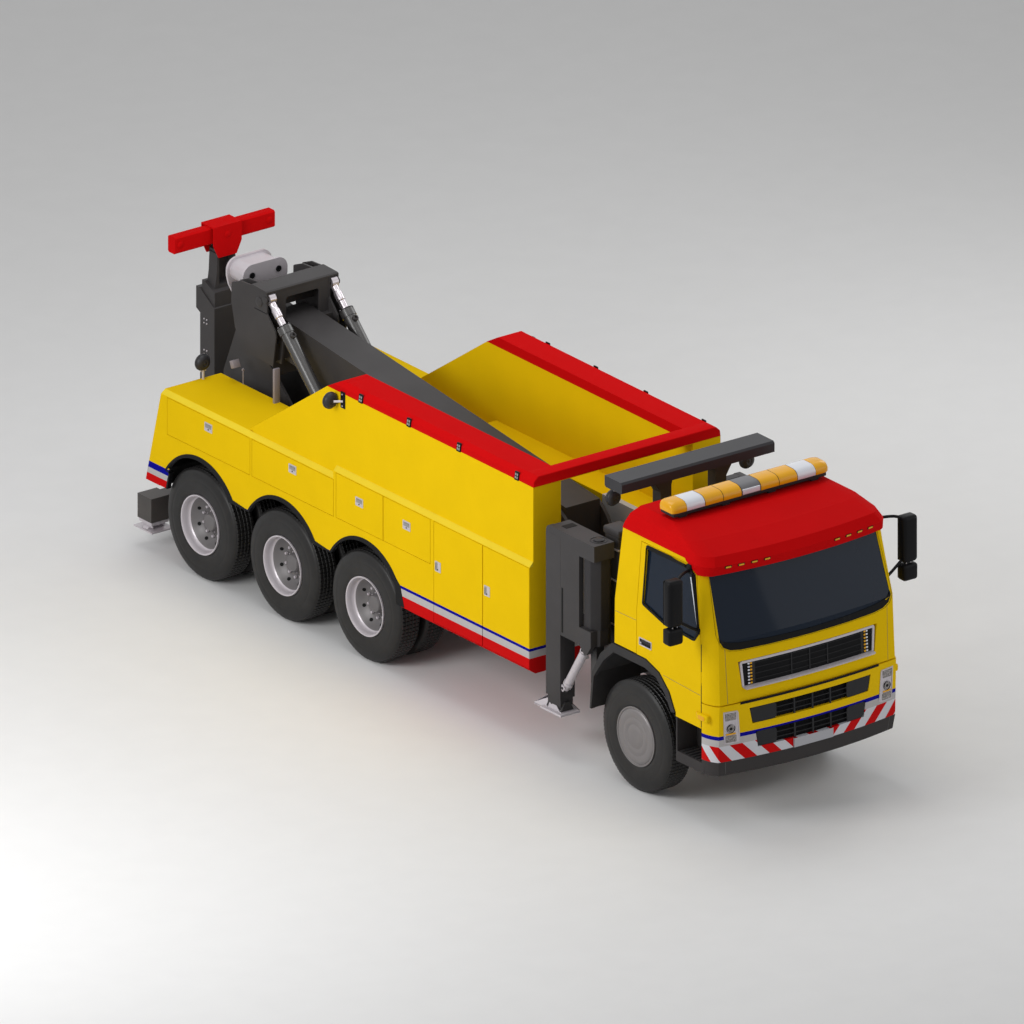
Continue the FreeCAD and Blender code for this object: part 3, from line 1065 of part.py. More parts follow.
node("outrigger_leg_right", mirrored("LegRight", leg))
outrigger_mount = join("OutriggerMount", [
    block("MountBeam", ("railOuter - 6", "hingeX + 50"), ("hingeY - 50", "hingeY + 50"),
          ("railBottom + 60", "railTop + 20")),
    block("MountPost", ("hingeX - 50", "hingeX + 50"), ("hingeY - 50", "hingeY + 50"),
          ("railBottom + 60", "columnBottom - 6")),
    round_bar("MountPin", "Z", "pinRadius", ("1200", "columnTop + 50"), ("hingeX", "hingeY"))])

# ---------------------------------------------------------------- rear legs
rear_case = cut("RearCase", block("RearCaseOuter", ("950", "1200"), ("8420", "8660"),
                                  ("rearLegTop", "600")),
                [block("RearCaseBore", ("962", "1188"), ("8432", "8648"), ("100", "590"))])
rear_post = join("RearPost", [
    block("RearPostBar", ("962 + fitGap", "1188 - fitGap"), ("8432 + fitGap", "8648 - fitGap"),
          ("290", "580")),
    block("RearFoot", ("930", "1220"), ("8380", "8700"), ("rearFootBottom", "rearFootBottom + 16")),
    prism("RearFootLug", "XZ", (("940", "rearFootBottom"), ("1210", "rearFootBottom"),
                                ("1110", "316"), ("1040", "316")), "8500", "8580")])
node("rear_legs", both("RearLegs", rear_post))
cross_beam = block("RearCrossBeam", ("-955", "955"), ("8430", "8640"), ("380", "580"))
pivot_brackets = pair("LiftBracket", ("136", "176"), ("railRear - 40", "liftPivotY + 60"),
                      ("liftPivotZ - 90", "liftPivotZ + 90"))
pivot_pin = round_bar("LiftPin", "X", "40", ("-176", "176"), ("liftPivotY", "liftPivotZ"))
tail_beam = block("TailBeam", ("-railOuter + 6", "railOuter - 6"), ("railRear - 40", "railRear + 30"),
                  ("railBottom - 100", "railTop - 20"))
tail_drop = pair("TailDrop", ("railOuter - railWidth", "railOuter"), ("railRear - 40", "8500"),
                 ("400", "railTop"))
node("chassis_frame", join("ChassisFrame", [
    rail_web, mirrored("RailRight", rail_web), outrigger_mount,
    mirrored("OutriggerMountRight", outrigger_mount), rear_case,
    mirrored("RearCaseRight", rear_case), cross_beam, pivot_pin, tail_beam]
    + tail_drop + pivot_brackets + cross_members))

# ---------------------------------------------------------------- mirrors and work lamps
mirror_head = prism("MirrorHead", "XY", (
    ("1440", "-1062"), ("1622", "-1062"), ("1632", "-1120"), ("1606", "-1180", "arc"),
    ("1536", "-1200"), ("1466", "-1180", "arc"), ("1440", "-1120")), "2305", "2833")
mirror_small = prism("MirrorSmall", "XY", (
    ("1446", "-1062"), ("1616", "-1062"), ("1622", "-1120"), ("1600", "-1166", "arc"),
    ("1536", "-1182"), ("1472", "-1166", "arc"), ("1446", "-1120")), "2100", "2290")


def cab_half(height):
    """Where an arm meets the side of the cab above the belt line."""
    lean = "(cabBeltHalf - cabHeadHalf) / (cabHeadZ - cabBeltZ)"
    return f"cabBeltHalf + fitGap - {lean} * ({height} - cabBeltZ)"


mirror_arms = [
    block("MirrorArmTop", (cab_half("2765"), "1480"), ("-1082", "-1056"), ("2765", "2797")),
    block("MirrorArmLow", (cab_half("2115"), "1480"), ("-1170", "-1142"), ("2115", "2151")),
    block("MirrorJoint", ("1500", "1540"), ("-1130", "-1090"), ("2280", "2315")),
]
mirror = join("MirrorLeft", [mirror_head, mirror_small] + mirror_arms)
node("mirror_left", mirror)
node("mirror_right", mirrored("MirrorRight", mirror))


def lamp(name, x, y, z, foot):
    """A round work lamp on a bracket that reaches what carries it."""
    return join(name, [round_bar(name + "Case", "Y", "85", (f"{y} - 32", f"{y} + 32"), (x, z)),
                       foot])


lamps = [
    lamp("SideLamp", "binOuter + 92", "5165", "2780", block(
        "SideLampFoot", ("binOuter + fitGap", "binOuter + 60"), ("5020", "5160"),
        ("2765", "2795"))),
    lamp("DeckLamp", "750", "8040", "2135", block(
        "DeckLampFoot", ("735", "765"), ("8025", "8055"), ("rearLedgeTop + fitGap", "2080"))),
    lamp("BeamLamp", "874", "798", "2974", block(
        "BeamLampFoot", ("860", "888"), ("735", "775"), ("3030", "3144 - fitGap"))),
]
node("work_lights", group("WorkLights", [
    part for one in lamps for part in (one, mirrored(one.Name + "Right", one))]))


# ---------------------------------------------------------------- check and write
doc.recompute()
faulty = [thing.Label for thing in doc.Objects
          if "Invalid" in thing.State or "Error" in thing.State]
faulty += [piece.Label for piece in nodes if piece.Shape.isNull() or not piece.Shape.isValid()]
if faulty:
    raise RuntimeError("these did not build: " + ", ".join(faulty))
os.makedirs("parts", exist_ok=True)
for piece in nodes:
    piece.Shape.exportStep(f"parts/{piece.Label}.step")
    print(piece.Label, len(piece.Shape.Solids), round(piece.Shape.Volume / 1e6, 2))
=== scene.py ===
import json
import math

import bmesh
import bpy
from mathutils import Matrix, Vector


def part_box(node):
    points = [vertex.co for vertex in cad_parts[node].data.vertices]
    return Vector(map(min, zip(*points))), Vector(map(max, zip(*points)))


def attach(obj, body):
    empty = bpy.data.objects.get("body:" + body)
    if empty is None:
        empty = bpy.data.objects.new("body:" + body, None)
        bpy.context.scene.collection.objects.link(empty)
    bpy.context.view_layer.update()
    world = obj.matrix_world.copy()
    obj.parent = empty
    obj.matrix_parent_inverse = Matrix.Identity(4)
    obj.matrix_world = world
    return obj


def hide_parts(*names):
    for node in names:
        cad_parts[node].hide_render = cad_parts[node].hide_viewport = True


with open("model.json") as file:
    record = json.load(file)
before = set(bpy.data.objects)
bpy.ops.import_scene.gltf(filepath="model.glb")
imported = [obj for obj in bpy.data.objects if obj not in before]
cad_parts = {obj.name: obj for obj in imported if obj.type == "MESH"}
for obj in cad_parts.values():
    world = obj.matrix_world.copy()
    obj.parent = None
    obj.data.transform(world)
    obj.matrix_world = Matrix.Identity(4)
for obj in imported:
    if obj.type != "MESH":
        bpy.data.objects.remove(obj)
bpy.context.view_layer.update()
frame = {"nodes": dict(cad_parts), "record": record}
nodes = frame["nodes"]
scene = bpy.context.scene


def middleOf(node):
    low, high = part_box(node)
    return (Vector(low) + Vector(high)) / 2


frontAxle = middleOf("wheel_front_left").y  # lengths along the truck are given from here
sides = {"left": 1, "right": -1}


def at(x, y, z):
    return Vector((x, y + frontAxle, z))


def forward(depth):
    return Vector((0, -depth, 0))


def setSockets(tree, node, values):
    # sockets of a node by name or number, each with a link or a plain value
    for socket, value in values.items():
        if isinstance(value, bpy.types.NodeSocket):
            tree.links.new(value, node.inputs[socket])
        else:
            node.inputs[socket].default_value = value


def addNode(tree, kind, values, **settings):
    node = tree.nodes.new("ShaderNode" + kind)
    for name, value in settings.items():
        setattr(node, name, value)
    setSockets(tree, node, values)
    return node


def mixColours(tree, factor, under, over):
    under, over = ((*tone, 1.0) if isinstance(tone, tuple) else tone for tone in (under, over))
    return addNode(tree, "Mix", {0: factor, 6: under, 7: over}, data_type="RGBA").outputs[2]


def within(calc, value, low, high):
    # 1 between two limits, 0 outside them
    return calc("MULTIPLY", calc("GREATER_THAN", value, low), calc("LESS_THAN", value, high))


def choose(calc, factor, under, over):
    kept = calc("MULTIPLY", under, calc("SUBTRACT", 1.0, factor))
    return calc("ADD", kept, calc("MULTIPLY", over, factor))


colours = {
    "yellow": (0.80, 0.520, 0.004), "red": (0.560, 0.004, 0.005), "white": (0.62, 0.62, 0.66),
    "band": (0.47, 0.45, 0.45), "blue": (0.004, 0.004, 0.27), "dark": (0.050, 0.047, 0.048),
    "silver": (0.56, 0.52, 0.55), "black": (0.012, 0.012, 0.013), "tyre": (0.012, 0.0115, 0.0115),
    "cap": (0.205, 0.19, 0.19), "glass": (0.009, 0.018, 0.036), "amber": (0.78, 0.38, 0.008),
    # the sloping edge's colour is painted sheen: a paler yellow where that slope catches the light
    "plate": (0.44, 0.44, 0.47), "stone": (0.50, 0.49, 0.48), "ledgeSheen": (0.80, 0.60, 0.035),
    "dirt": (0.16, 0.13, 0.10),
}


def makeFinish(name, colour, rough, metal=0.0, coat=0.0, shade=0.05, patch=2.5, grain=400.0,
               bump=0.02, dirt=0.0, zones=(), spec=0.5, glow=0.0, dirtTop=1.3):
    # paint, metal, rubber or plastic: a base colour with faint patches, a fine grain and road dirt low down
    colour = colours.get(colour, colour)
    finish = bpy.data.materials.new(name)
    finish.use_nodes = True
    tree = finish.node_tree
    shader = tree.nodes["Principled BSDF"]
    place = tree.nodes.new("ShaderNodeTexCoord").outputs["Object"]

    def calc(operation, *values):
        return addNode(tree, "Math", dict(enumerate(values)), operation=operation).outputs[0]

    def noise(scale, detail):
        return addNode(tree, "TexNoise", {"Scale": scale, "Detail": detail, "Vector": place}).outputs["Fac"]

    axes = addNode(tree, "SeparateXYZ", {0: place}).outputs
    tone = colour
    for mask, over in zones:
        tone = mixColours(tree, mask(calc, *axes), tone, colours[over])
    patches, fine = noise(patch, 6.0), noise(grain, 3.0)
    spread = addNode(tree, "MapRange", {"From Min": 0.3, "From Max": 0.7, "To Min": 1.0 - shade,
                                        "To Max": 1.0 + shade, "Value": patches}).outputs[0]
    tone = addNode(tree, "VectorMath", {0: tone, "Scale": spread}, operation="SCALE").outputs[0]
    if dirt:
        low = calc("MAXIMUM", calc("MULTIPLY", calc("SUBTRACT", dirtTop, axes[2]), 0.8), 0.0)
        tone = mixColours(tree, calc("MULTIPLY", calc("MULTIPLY", low, patches), dirt), tone, colours["dirt"])
    gloss = addNode(tree, "MapRange", {"To Min": max(rough - 0.06, 0.02), "To Max": min(rough + 0.06, 1.0),
                                       "Value": fine}).outputs[0]
    relief = addNode(tree, "Bump", {"Strength": bump, "Distance": 0.002, "Height": fine}).outputs["Normal"]
    setSockets(tree, shader, {"Base Color": tone, "Roughness": gloss, "Normal": relief, "Metallic": metal,
                              "Coat Weight": coat, "Specular IOR Level": spec})
    if glow:
        setSockets(tree, shader, {"Emission Color": (*colour, 1.0), "Emission Strength": glow})
    return finish


def makeGlass(name, colour, rough, see):
    finish = makeFinish(name, colour, rough, shade=0.03, patch=1.2, grain=60.0, bump=0.0, spec=0.05)
    tree = finish.node_tree
    setSockets(tree, tree.nodes["Principled BSDF"], {"Transmission Weight": see, "IOR": 1.45})
    return finish


def band(colour, low, high, rear=None, step=7.6):
    # a level stripe; rear gives its limits behind the last axle, where the stripes sit lower
    def mask(calc, x, y, z):
        level = within(calc, z, low, high)
        if rear is None:
            return level
        return choose(calc, calc("GREATER_THAN", y, step + frontAxle), level, within(calc, z, *rear))
    return mask, colour


def chevrons(colour, low, high, start=0.107, pitch=0.298, corner=-1.44):
    # slanting bars that run round the front corners and lean outwards on both sides
    def mask(calc, x, y, z):
        back = calc("MAXIMUM", calc("ADD", y, -corner - frontAxle), 0.0)
        run = calc("ADD", calc("ABSOLUTE", x), back)
        slant = calc("SUBTRACT", run, calc("SUBTRACT", z, low))
        turn = calc("FRACT", calc("DIVIDE", calc("SUBTRACT", slant, start), pitch))
        return calc("MULTIPLY", calc("LESS_THAN", turn, 0.5), within(calc, z, low, high))
    return mask, colour


def ledgeSheen(colour, half, front, rear, step=5.146):
    # the sloping edge above the lockers, which steps down behind the tall doors; painted sheen, a paler yellow where
    # the slope catches the light
    def mask(calc, x, y, z):
        outer = calc("GREATER_THAN", calc("ABSOLUTE", x), half)
        past = calc("GREATER_THAN", y, frontAxle + step)
        return calc("MULTIPLY", outer, choose(calc, past, within(calc, z, *front), within(calc, z, *rear)))
    return mask, colour


def inside(colour, half, top, along):
    # within a half width, below a height and between two lengths along the truck
    def mask(calc, x, y, z):
        near = calc("LESS_THAN", calc("ABSOLUTE", x), half)
        near = calc("MULTIPLY", near, within(calc, y, *(frontAxle + limit for limit in along)))
        return calc("MULTIPLY", near, calc("LESS_THAN", z, top))
    return mask, colour


def behind(colour, limit):
    return lambda calc, x, y, z: calc("GREATER_THAN", y, limit + frontAxle), colour


bodyZones = (
    band("red", 0.0, 0.96, rear=(0.0, 0.942)), band("band", 0.96, 1.04, rear=(0.942, 1.007)),
    band("blue", 1.04, 1.072, rear=(1.007, 1.079)), band("red", 2.8803, 3.2),
    # the band on the sloping edge above the lockers is painted sheen, a paler yellow
    ledgeSheen("ledgeSheen", 1.228, (1.992, 2.044), (1.902, 1.949)), inside("stone", 0.57, 2.07, (1.0, 2.82)),
    inside("black", 1.262, 1.40, (3.86, 8.09)))
bumperZones = (
    band("white", 0.762, 0.94), chevrons("red", 0.762, 0.94), inside("plate", 0.256, 0.864, (-1.6, -1.3)),
    band("dark", 0.0, 0.762), band("band", 0.94, 1.015), band("blue", 1.015, 1.058), behind("dark", -1.2145))
enamel = {"spec": 0.14, "grain": 260.0, "bump": 0.05}
finishes = {
    "yellow": makeFinish("yellowPaint", "yellow", 0.60, spec=0.02, shade=0.02, dirt=0.08),
    "red": makeFinish("redPaint", "red", 0.60, spec=0.012, shade=0.03),
    "body": makeFinish("bodyPaint", "yellow", 0.62, spec=0.012, shade=0.02, dirt=0.12, zones=bodyZones),
    "deck": makeFinish("deckPaint", "dark", 0.60, spec=0.03, shade=0.08, dirt=0.2, bump=0.05,
                       zones=(band("red", 2.8, 3.2),)),
    "bumper": makeFinish("bumperPaint", "yellow", 0.42, spec=0.03, shade=0.02, dirt=0.10, zones=bumperZones),
    "dark": makeFinish("machineEnamel", "dark", 0.42, shade=0.10, **enamel),
    "chassis": makeFinish("chassisBlack", (0.032, 0.031, 0.032), 0.55, shade=0.15, dirt=0.5, bump=0.08),
    "castIron": makeFinish("castIron", (0.11, 0.105, 0.10), 0.65, metal=0.4, shade=0.15, grain=180.0, bump=0.2,
                           dirt=0.3),
    "steel": makeFinish("platedSteel", "silver", 0.28, metal=0.85, grain=220.0, bump=0.03),
    "silver": makeFinish("silverPaint", "silver", 0.36, metal=0.25, coat=0.1, shade=0.04),
    "tyre": makeFinish("tyreRubber", "tyre", 0.42, shade=0.18, patch=9.0, grain=320.0, bump=0.06, dirt=0.05,
                       spec=0.30),
    # wheel disc: a darker grey as painted shade in the recessed dish, with road dirt low down
    "dish": makeFinish("shadedWheelDisc", (0.150, 0.142, 0.145), 0.45, metal=0.2, shade=0.10, grain=120.0, bump=0.08,
                       dirt=0.15),
    "cap": makeFinish("hubCapPaint", "cap", 0.40, metal=0.3),
    "black": makeFinish("blackPlastic", (0.007, 0.007, 0.008), 0.42, spec=0.10, shade=0.08, grain=700.0, bump=0.10),
    "grey": makeFinish("greyPlastic", (0.026, 0.026, 0.028), 0.45, spec=0.14, shade=0.06, grain=700.0, bump=0.08),
    "strip": makeFinish("stripPaint", (0.27, 0.24, 0.26), 0.40, spec=0.3, shade=0.04),
    "headlens": makeFinish("headlampLens", (0.26, 0.24, 0.23), 0.22, metal=0.2, shade=0.75, patch=70.0,
                           grain=160.0, bump=0.35, spec=0.6),
    "inset": makeFinish("handleInset", (0.30, 0.29, 0.28), 0.45, spec=0.2, shade=0.04),
    "lampBody": makeFinish("lampBody", (0.028, 0.028, 0.032), 0.42, spec=0.25, shade=0.08, grain=300.0, bump=0.15),
    "barrel": makeFinish("barrelEnamel", (0.042, 0.040, 0.040), 0.26, spec=0.75, shade=0.08, grain=200.0,
                         bump=0.03),
    # darker than the machine enamel: painted shadow cast by the outrigger head onto its column
    "column": makeFinish("shadedColumnEnamel", (0.034, 0.032, 0.034), 0.42, shade=0.08, **enamel),
    "legPost": makeFinish("legPost", "dark", 0.42, shade=0.08, zones=(band("silver", 0.0, 0.512),), **enamel),
    "surround": makeFinish("grilleSurround", (0.026, 0.026, 0.028), 0.40, spec=0.2),
    "rubber": makeFinish("sealRubber", (0.006, 0.006, 0.006), 0.50, spec=0.1, shade=0.08, bump=0.05),
    "mudguard": makeFinish("mudguardPlastic", (0.034, 0.033, 0.034), 0.55, spec=0.14, shade=0.10, grain=500.0,
                           bump=0.12, dirt=0.2),
    "glass": makeGlass("tintedGlass", "glass", 0.06, 0.25),
    "mirror": makeFinish("mirrorSilver", (0.75, 0.77, 0.80), 0.04, metal=1.0, shade=0.01, bump=0.0),
    "beacon": makeFinish("beaconHousing", (0.17, 0.17, 0.18), 0.40, spec=0.2, grain=300.0, bump=0.05),
    "amber": makeFinish("amberLens", "amber", 0.24, coat=0.12, spec=0.2, shade=0.04, grain=90.0, bump=0.05,
                        glow=0.03),
    "white": makeFinish("whiteLens", (0.70, 0.72, 0.78), 0.22, coat=0.6, shade=0.03, grain=90.0, bump=0.05),
    "lens": makeFinish("lampLens", (0.55, 0.56, 0.60), 0.14, metal=0.35, coat=0.8, shade=0.10, grain=140.0,
                       bump=0.25),
    "redLens": makeFinish("redLens", (0.50, 0.006, 0.006), 0.2, coat=0.7, grain=160.0, bump=0.2),
    "cloth": makeFinish("seatCloth", (0.055, 0.055, 0.062), 0.9, shade=0.2, patch=60.0, grain=900.0, bump=0.5,
                        spec=0.2),
    "trim": makeFinish("cabTrim", (0.09, 0.088, 0.085), 0.7, shade=0.08, grain=600.0, bump=0.15),
}
nodeFinishes = {
    "cab_shell": "yellow", "door": "yellow", "door_glass": "glass", "windscreen": "glass", "cab_roof": "red",
    "grille": "surround", "headlights": "silver", "front_bumper": "bumper", "seats": "cloth", "dashboard": "trim",
    "roof_light_bar": "grey", "front_mudguards": "mudguard", "front_axle": "chassis", "knuckle": "castIron",
    "rear_axles": "chassis", "engine_block": "castIron", "wheel": "tyre", "locker": "body", "body_deck": "deck",
    "body": "body", "light_gantry": "lampBody", "boom": "dark", "recovery_frame": "dark",
    "lift_barrels": "barrel", "lift_rods": "steel", "sheave_block": "silver", "underlift": "dark",
    "crossbar": "red", "outrigger_leg": "legPost", "outrigger": "dark", "rear_legs": "silver",
    "chassis_frame": "chassis", "mirror": "black", "work_lights": "black",
}
for name, thing in nodes.items():
    fits = [start for start in nodeFinishes if name.startswith(start)]  # the longest of these counts
    thing.data.materials.clear()
    thing.data.materials.append(finishes[nodeFinishes[max(fits, key=len)]])
print("finishes on", len(nodes), "nodes")


def paint(faces, slot):
    for face in faces:
        face.material_index = slot


def facesOf(verts):
    return {face for vert in verts for face in vert.link_faces}


def easeEdges(bm, verts, offset, segments):
    if offset:
        edges = {edge for vert in verts for edge in vert.link_edges}
        bmesh.ops.bevel(bm, geom=list(edges), offset=offset, offset_type="OFFSET", affect="EDGES",
                        segments=segments, profile=0.5, material=-1)


def thicken(bm, faces, push):
    # faces pulled out into a slab; returns its far corners
    pushed = bmesh.ops.extrude_face_region(bm, geom=faces)["geom"]
    far = [part for part in pushed if isinstance(part, bmesh.types.BMVert)]
    bmesh.ops.translate(bm, vec=push, verts=far)
    return far


def addOutline(bm, outline, rounding, segments):
    # a flat face with its corners rounded
    verts = [bm.verts.new(point) for point in outline]
    bm.faces.new(verts)
    if rounding:
        bmesh.ops.bevel(bm, geom=verts, offset=rounding, offset_type="OFFSET", affect="VERTICES",
                        segments=segments, profile=0.5, material=-1)


def newFaces(bm, before):
    return [face for face in bm.faces if face not in before]


def addBox(bm, low, high, bevel=0.0, segments=2, turn=None, slot=0):
    low, high = Vector(low), Vector(high)
    verts = bmesh.ops.create_cube(bm, size=1.0)["verts"]
    bmesh.ops.scale(bm, vec=high - low, verts=verts)
    if turn:
        bmesh.ops.transform(bm, matrix=turn.to_4x4(), verts=verts)
    bmesh.ops.translate(bm, vec=(low + high) / 2, verts=verts)
    paint(facesOf(verts), slot)
    easeEdges(bm, verts, bevel, segments)


def addSideBox(bm, side, xs, ys, zs, bevel=0.0, segments=2, slot=0):
    # a box given on the left side, mirrored for the right
    low, high = sorted((side * xs[0], side * xs[1]))
    addBox(bm, at(low, ys[0], zs[0]), at(high, ys[1], zs[1]), bevel, segments, slot=slot)


def addTube(bm, start, end, radius, endRadius=None, segments=24, slot=0):
    start, end = Vector(start), Vector(end)
    run = end - start
    verts = bmesh.ops.create_cone(bm, cap_ends=True, segments=segments, radius1=radius,
                                  radius2=radius if endRadius is None else endRadius, depth=run.length)["verts"]
    turn = Vector((0, 0, 1)).rotation_difference(run).to_matrix().to_4x4()
    bmesh.ops.transform(bm, matrix=Matrix.Translation((start + end) / 2) @ turn, verts=verts)
    paint(facesOf(verts), slot)


def addSideTube(bm, side, start, end, radius, **more):
    # a tube given on the left side; end lists only the coordinates that change, by axis number
    points = [list(start), list(start)]
    for axis, value in end.items():
        points[1][axis] = value
    addTube(bm, *(at(side * x, y, z) for x, y, z in points), radius, **more)


def addPlate(bm, outline, push, bevel=0.0, segments=2):
    verts = [bm.verts.new(point) for point in outline]
    far = thicken(bm, [bm.faces.new(verts)], push)
    easeEdges(bm, verts + far, bevel, segments)


def addSpin(bm, profile, centre, steps=64, slot=0):
    # a profile of (distance along x, radius) spun about the crosswise axis through centre
    verts = [bm.verts.new(centre + Vector((along, 0, radius))) for along, radius in profile]
    edges = [bm.edges.new(ends) for ends in zip(verts, verts[1:])]
    before = set(bm.faces)
    bmesh.ops.spin(bm, geom=verts + edges, cent=centre, axis=(1, 0, 0), angle=math.tau, steps=steps,
                   use_merge=True)
    made = newFaces(bm, before)
    paint(made, slot)
    return made


def addTurned(bm, profile, start, run, steps=36, slot=0):
    # a turned shape: distance along and radius, about a line that leaves start
    start, run = Vector(start), Vector(run).normalized()
    turn = Matrix.Rotation(math.tau / steps, 3, run)
    arms = [run.orthogonal().normalized()]
    while len(arms) < steps:
        arms.append(turn @ arms[-1])
    rings = [[bm.verts.new(start + run * along + arm * max(radius, 2e-6)) for arm in arms]
             for along, radius in profile]
    for lower, upper in zip(rings, rings[1:]):
        paint([bm.faces.new((lower[index], lower[index + 1 - steps], upper[index + 1 - steps], upper[index]))
               for index in range(steps)], slot)


def addRing(bm, outline, inset, rounding, cuts, settle, push, slot=0):
    # a band along the inside of an outline, laid on a surface by settle and given a thickness by push
    before = set(bm.faces)
    addOutline(bm, outline, rounding, 6)
    rim = bmesh.ops.inset_region(bm, faces=newFaces(bm, before), thickness=inset, use_even_offset=True,
                                 use_boundary=True)["faces"]
    bmesh.ops.delete(bm, geom=[face for face in newFaces(bm, before) if face not in rim], context="FACES")
    long = {edge for face in rim for edge in face.edges if edge.calc_length() > 0.12}  # corners stay as they are
    bmesh.ops.subdivide_edges(bm, edges=list(long), cuts=cuts, use_grid_fill=True)
    made = newFaces(bm, before)
    for vert in {vert for face in made for vert in face.verts}:
        vert.co = settle(vert.co)
    thicken(bm, made, push)
    paint(newFaces(bm, before), slot)


def addSheet(bm, outline, axis, step, settle, push, rounding=0.0, slot=0):
    # a closed outline cut into strips along one axis, laid on a surface by settle and given a thickness
    before = set(bm.faces)
    addOutline(bm, outline, rounding, 5)
    low, high = min(point[axis] for point in outline), max(point[axis] for point in outline)
    normal = Vector((0, 0, 0))
    normal[axis] = 1.0
    count = max(int((high - low) / step), 1)
    for index in range(1, count):
        parts = newFaces(bm, before)
        parts += list({edge for face in parts for edge in face.edges}
                      | {vert for face in parts for vert in face.verts})
        bmesh.ops.bisect_plane(bm, geom=parts, plane_co=normal * (low + (high - low) * index / count),
                               plane_no=normal, dist=1e-6)
    made = newFaces(bm, before)
    for vert in {vert for face in made for vert in face.verts}:
        vert.co = settle(vert.co)
    thicken(bm, made, push)
    paint(newFaces(bm, before), slot)


def addHull(bm, points, bevel=0.0):
    verts = [bm.verts.new(point) for point in points]
    made = bmesh.ops.convex_hull(bm, input=verts)
    spare = [part for part in made["geom_interior"] + made["geom_unused"] if isinstance(part, bmesh.types.BMVert)]
    bmesh.ops.delete(bm, geom=spare, context="VERTS")
    bmesh.ops.dissolve_limit(bm, angle_limit=0.01, verts=bm.verts, edges=bm.edges)
    if bevel:
        bmesh.ops.bevel(bm, geom=list(bm.edges), offset=bevel, segments=3, profile=0.5, affect="EDGES")


def addStrip(bm, pairs, push):
    # a ribbon through pairs of points, with a thickness
    rows = [[bm.verts.new(point) for point in pair] for pair in pairs]
    thicken(bm, [bm.faces.new((one[0], two[0], two[1], one[1])) for one, two in zip(rows, rows[1:])], push)


def boltRing(bm, centre, run, radius, count, head=0.011, slot=0):
    # hexagon heads around a circle that faces along run
    run = Vector(run).normalized()
    arm = run.orthogonal().normalized() * radius
    turn = Matrix.Rotation(math.tau / count, 3, run)
    for _ in range(count):
        addTube(bm, centre + arm - run * 0.002, centre + arm + run * 0.009, head, segments=6, slot=slot)
        arm = turn @ arm


def placePiece(name, data, body):
    piece = bpy.data.objects.new(name, data)
    scene.collection.objects.link(piece)
    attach(piece, body)
    return piece


def finishPiece(name, bm, body, finish, replaces=(), sharp=35.0):
    # finish lists the names of the piece's finishes, in the order of its face slots
    bmesh.ops.remove_doubles(bm, verts=bm.verts, dist=1e-5)
    bmesh.ops.recalc_face_normals(bm, faces=bm.faces)
    mesh = bpy.data.meshes.new(name)
    bm.to_mesh(mesh)
    bm.free()
    for each in finish.split():
        mesh.materials.append(finishes[each])
    mesh.shade_smooth()
    mesh.set_sharp_from_angle(angle=math.radians(sharp))
    piece = placePiece(name, mesh, body)
    if replaces:
        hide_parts(*replaces)
    return piece


def makeRods(name, runs, radius, body, finish, closed=False):
    # bent bars of one thickness, each along a smooth line through its points
    line = bpy.data.curves.new(name, "CURVE")
    line.dimensions = "3D"
    line.bevel_depth = radius
    line.bevel_resolution = 4
    line.resolution_u = 8
    line.use_fill_caps = True
    for run in runs:
        spline = line.splines.new("NURBS")
        spline.points.add(len(run) - 1)
        for point, place in zip(spline.points, run):
            point.co = (*place, 1.0)
        spline.order_u = 3
        spline.use_endpoint_u = not closed
        spline.use_cyclic_u = closed
    line.materials.append(finishes[finish])
    placePiece(name, line, body)


# where rays start, beside the truck and past its ends, and what counts when they meet nothing
probe = {"beside": 3.0, "past": 9.0, "half": 1.226, "nose": -1.0, "tail": 8.40}


def hit(node, start, run):
    found, place, _, _ = nodes[node].ray_cast(Vector(start), Vector(run))
    return place if found else None


def outsideX(node, y, z, side, lift=0.0):
    # how far out a node's skin is at (y, z), measured on one side of the truck
    place = hit(node, (side * probe["beside"], y, z), (-side, 0, 0))
    return (side * probe["half"] if place is None else place.x) + side * lift


def outsideY(node, x, z, lift=0.0, side=-1):
    # how far forward a node's skin is at (x, z), or how far back when side is 1
    place = hit(node, (x, side * probe["past"], z), (0, -side, 0))
    missed = frontAxle + probe["nose" if side < 0 else "tail"]
    return (missed if place is None else place.y) + side * lift


def onFront(*names, lift=0.0):
    # laid on the foremost of some nodes' skins
    return lambda place: Vector((place.x, min(outsideY(node, place.x, place.z, lift) for node in names), place.z))


def onSide(node, side, lift=0.0):
    return lambda place: Vector((outsideX(node, place.y, place.z, side, lift), place.y, place.z))


def onPlane(x):
    return lambda place: Vector((x, place.y, place.z))


def onRear(node, lift=0.0):
    return lambda place: Vector((place.x, outsideY(node, place.x, place.z, lift, side=1), place.z))


def onCap(node, side, lift, low=2.890, rise=0.035):
    # the slope of the cap's lower edge, carried straight on upwards
    def settle(place):
        foot, head = (outsideX(node, place.y, z, side) for z in (low, low + rise))
        return Vector((foot + (head - foot) * (place.z - low) / rise + side * lift, place.y, place.z))
    return settle


def rectangle(x0, x1, z0, z1):
    # a level rectangle seen from the front
    return [at(x0, 0, z0), at(x1, 0, z0), at(x1, 0, z1), at(x0, 0, z1)]


def sideRectangle(y0, y1, z0, z1):
    return [at(0, y0, z0), at(0, y1, z0), at(0, y1, z1), at(0, y0, z1)]


def disc(centre, radius, axis, count=28):
    # a round outline facing along an axis
    turn = Matrix.Rotation(math.tau / count, 3, axis)
    arm = Vector((0, 0, radius))
    points = []
    for _ in range(count):
        points.append(Vector(centre) + arm)
        arm = turn @ arm
    return points


def strip(start, end, width):
    # a narrow upright outline between two points seen from the side
    start, end = at(0, *start), at(0, *end)
    run = (end - start).normalized()
    across = Vector((0, -run.z, run.y)) * width / 2
    return [start - across, end - across, end + across, start + across]


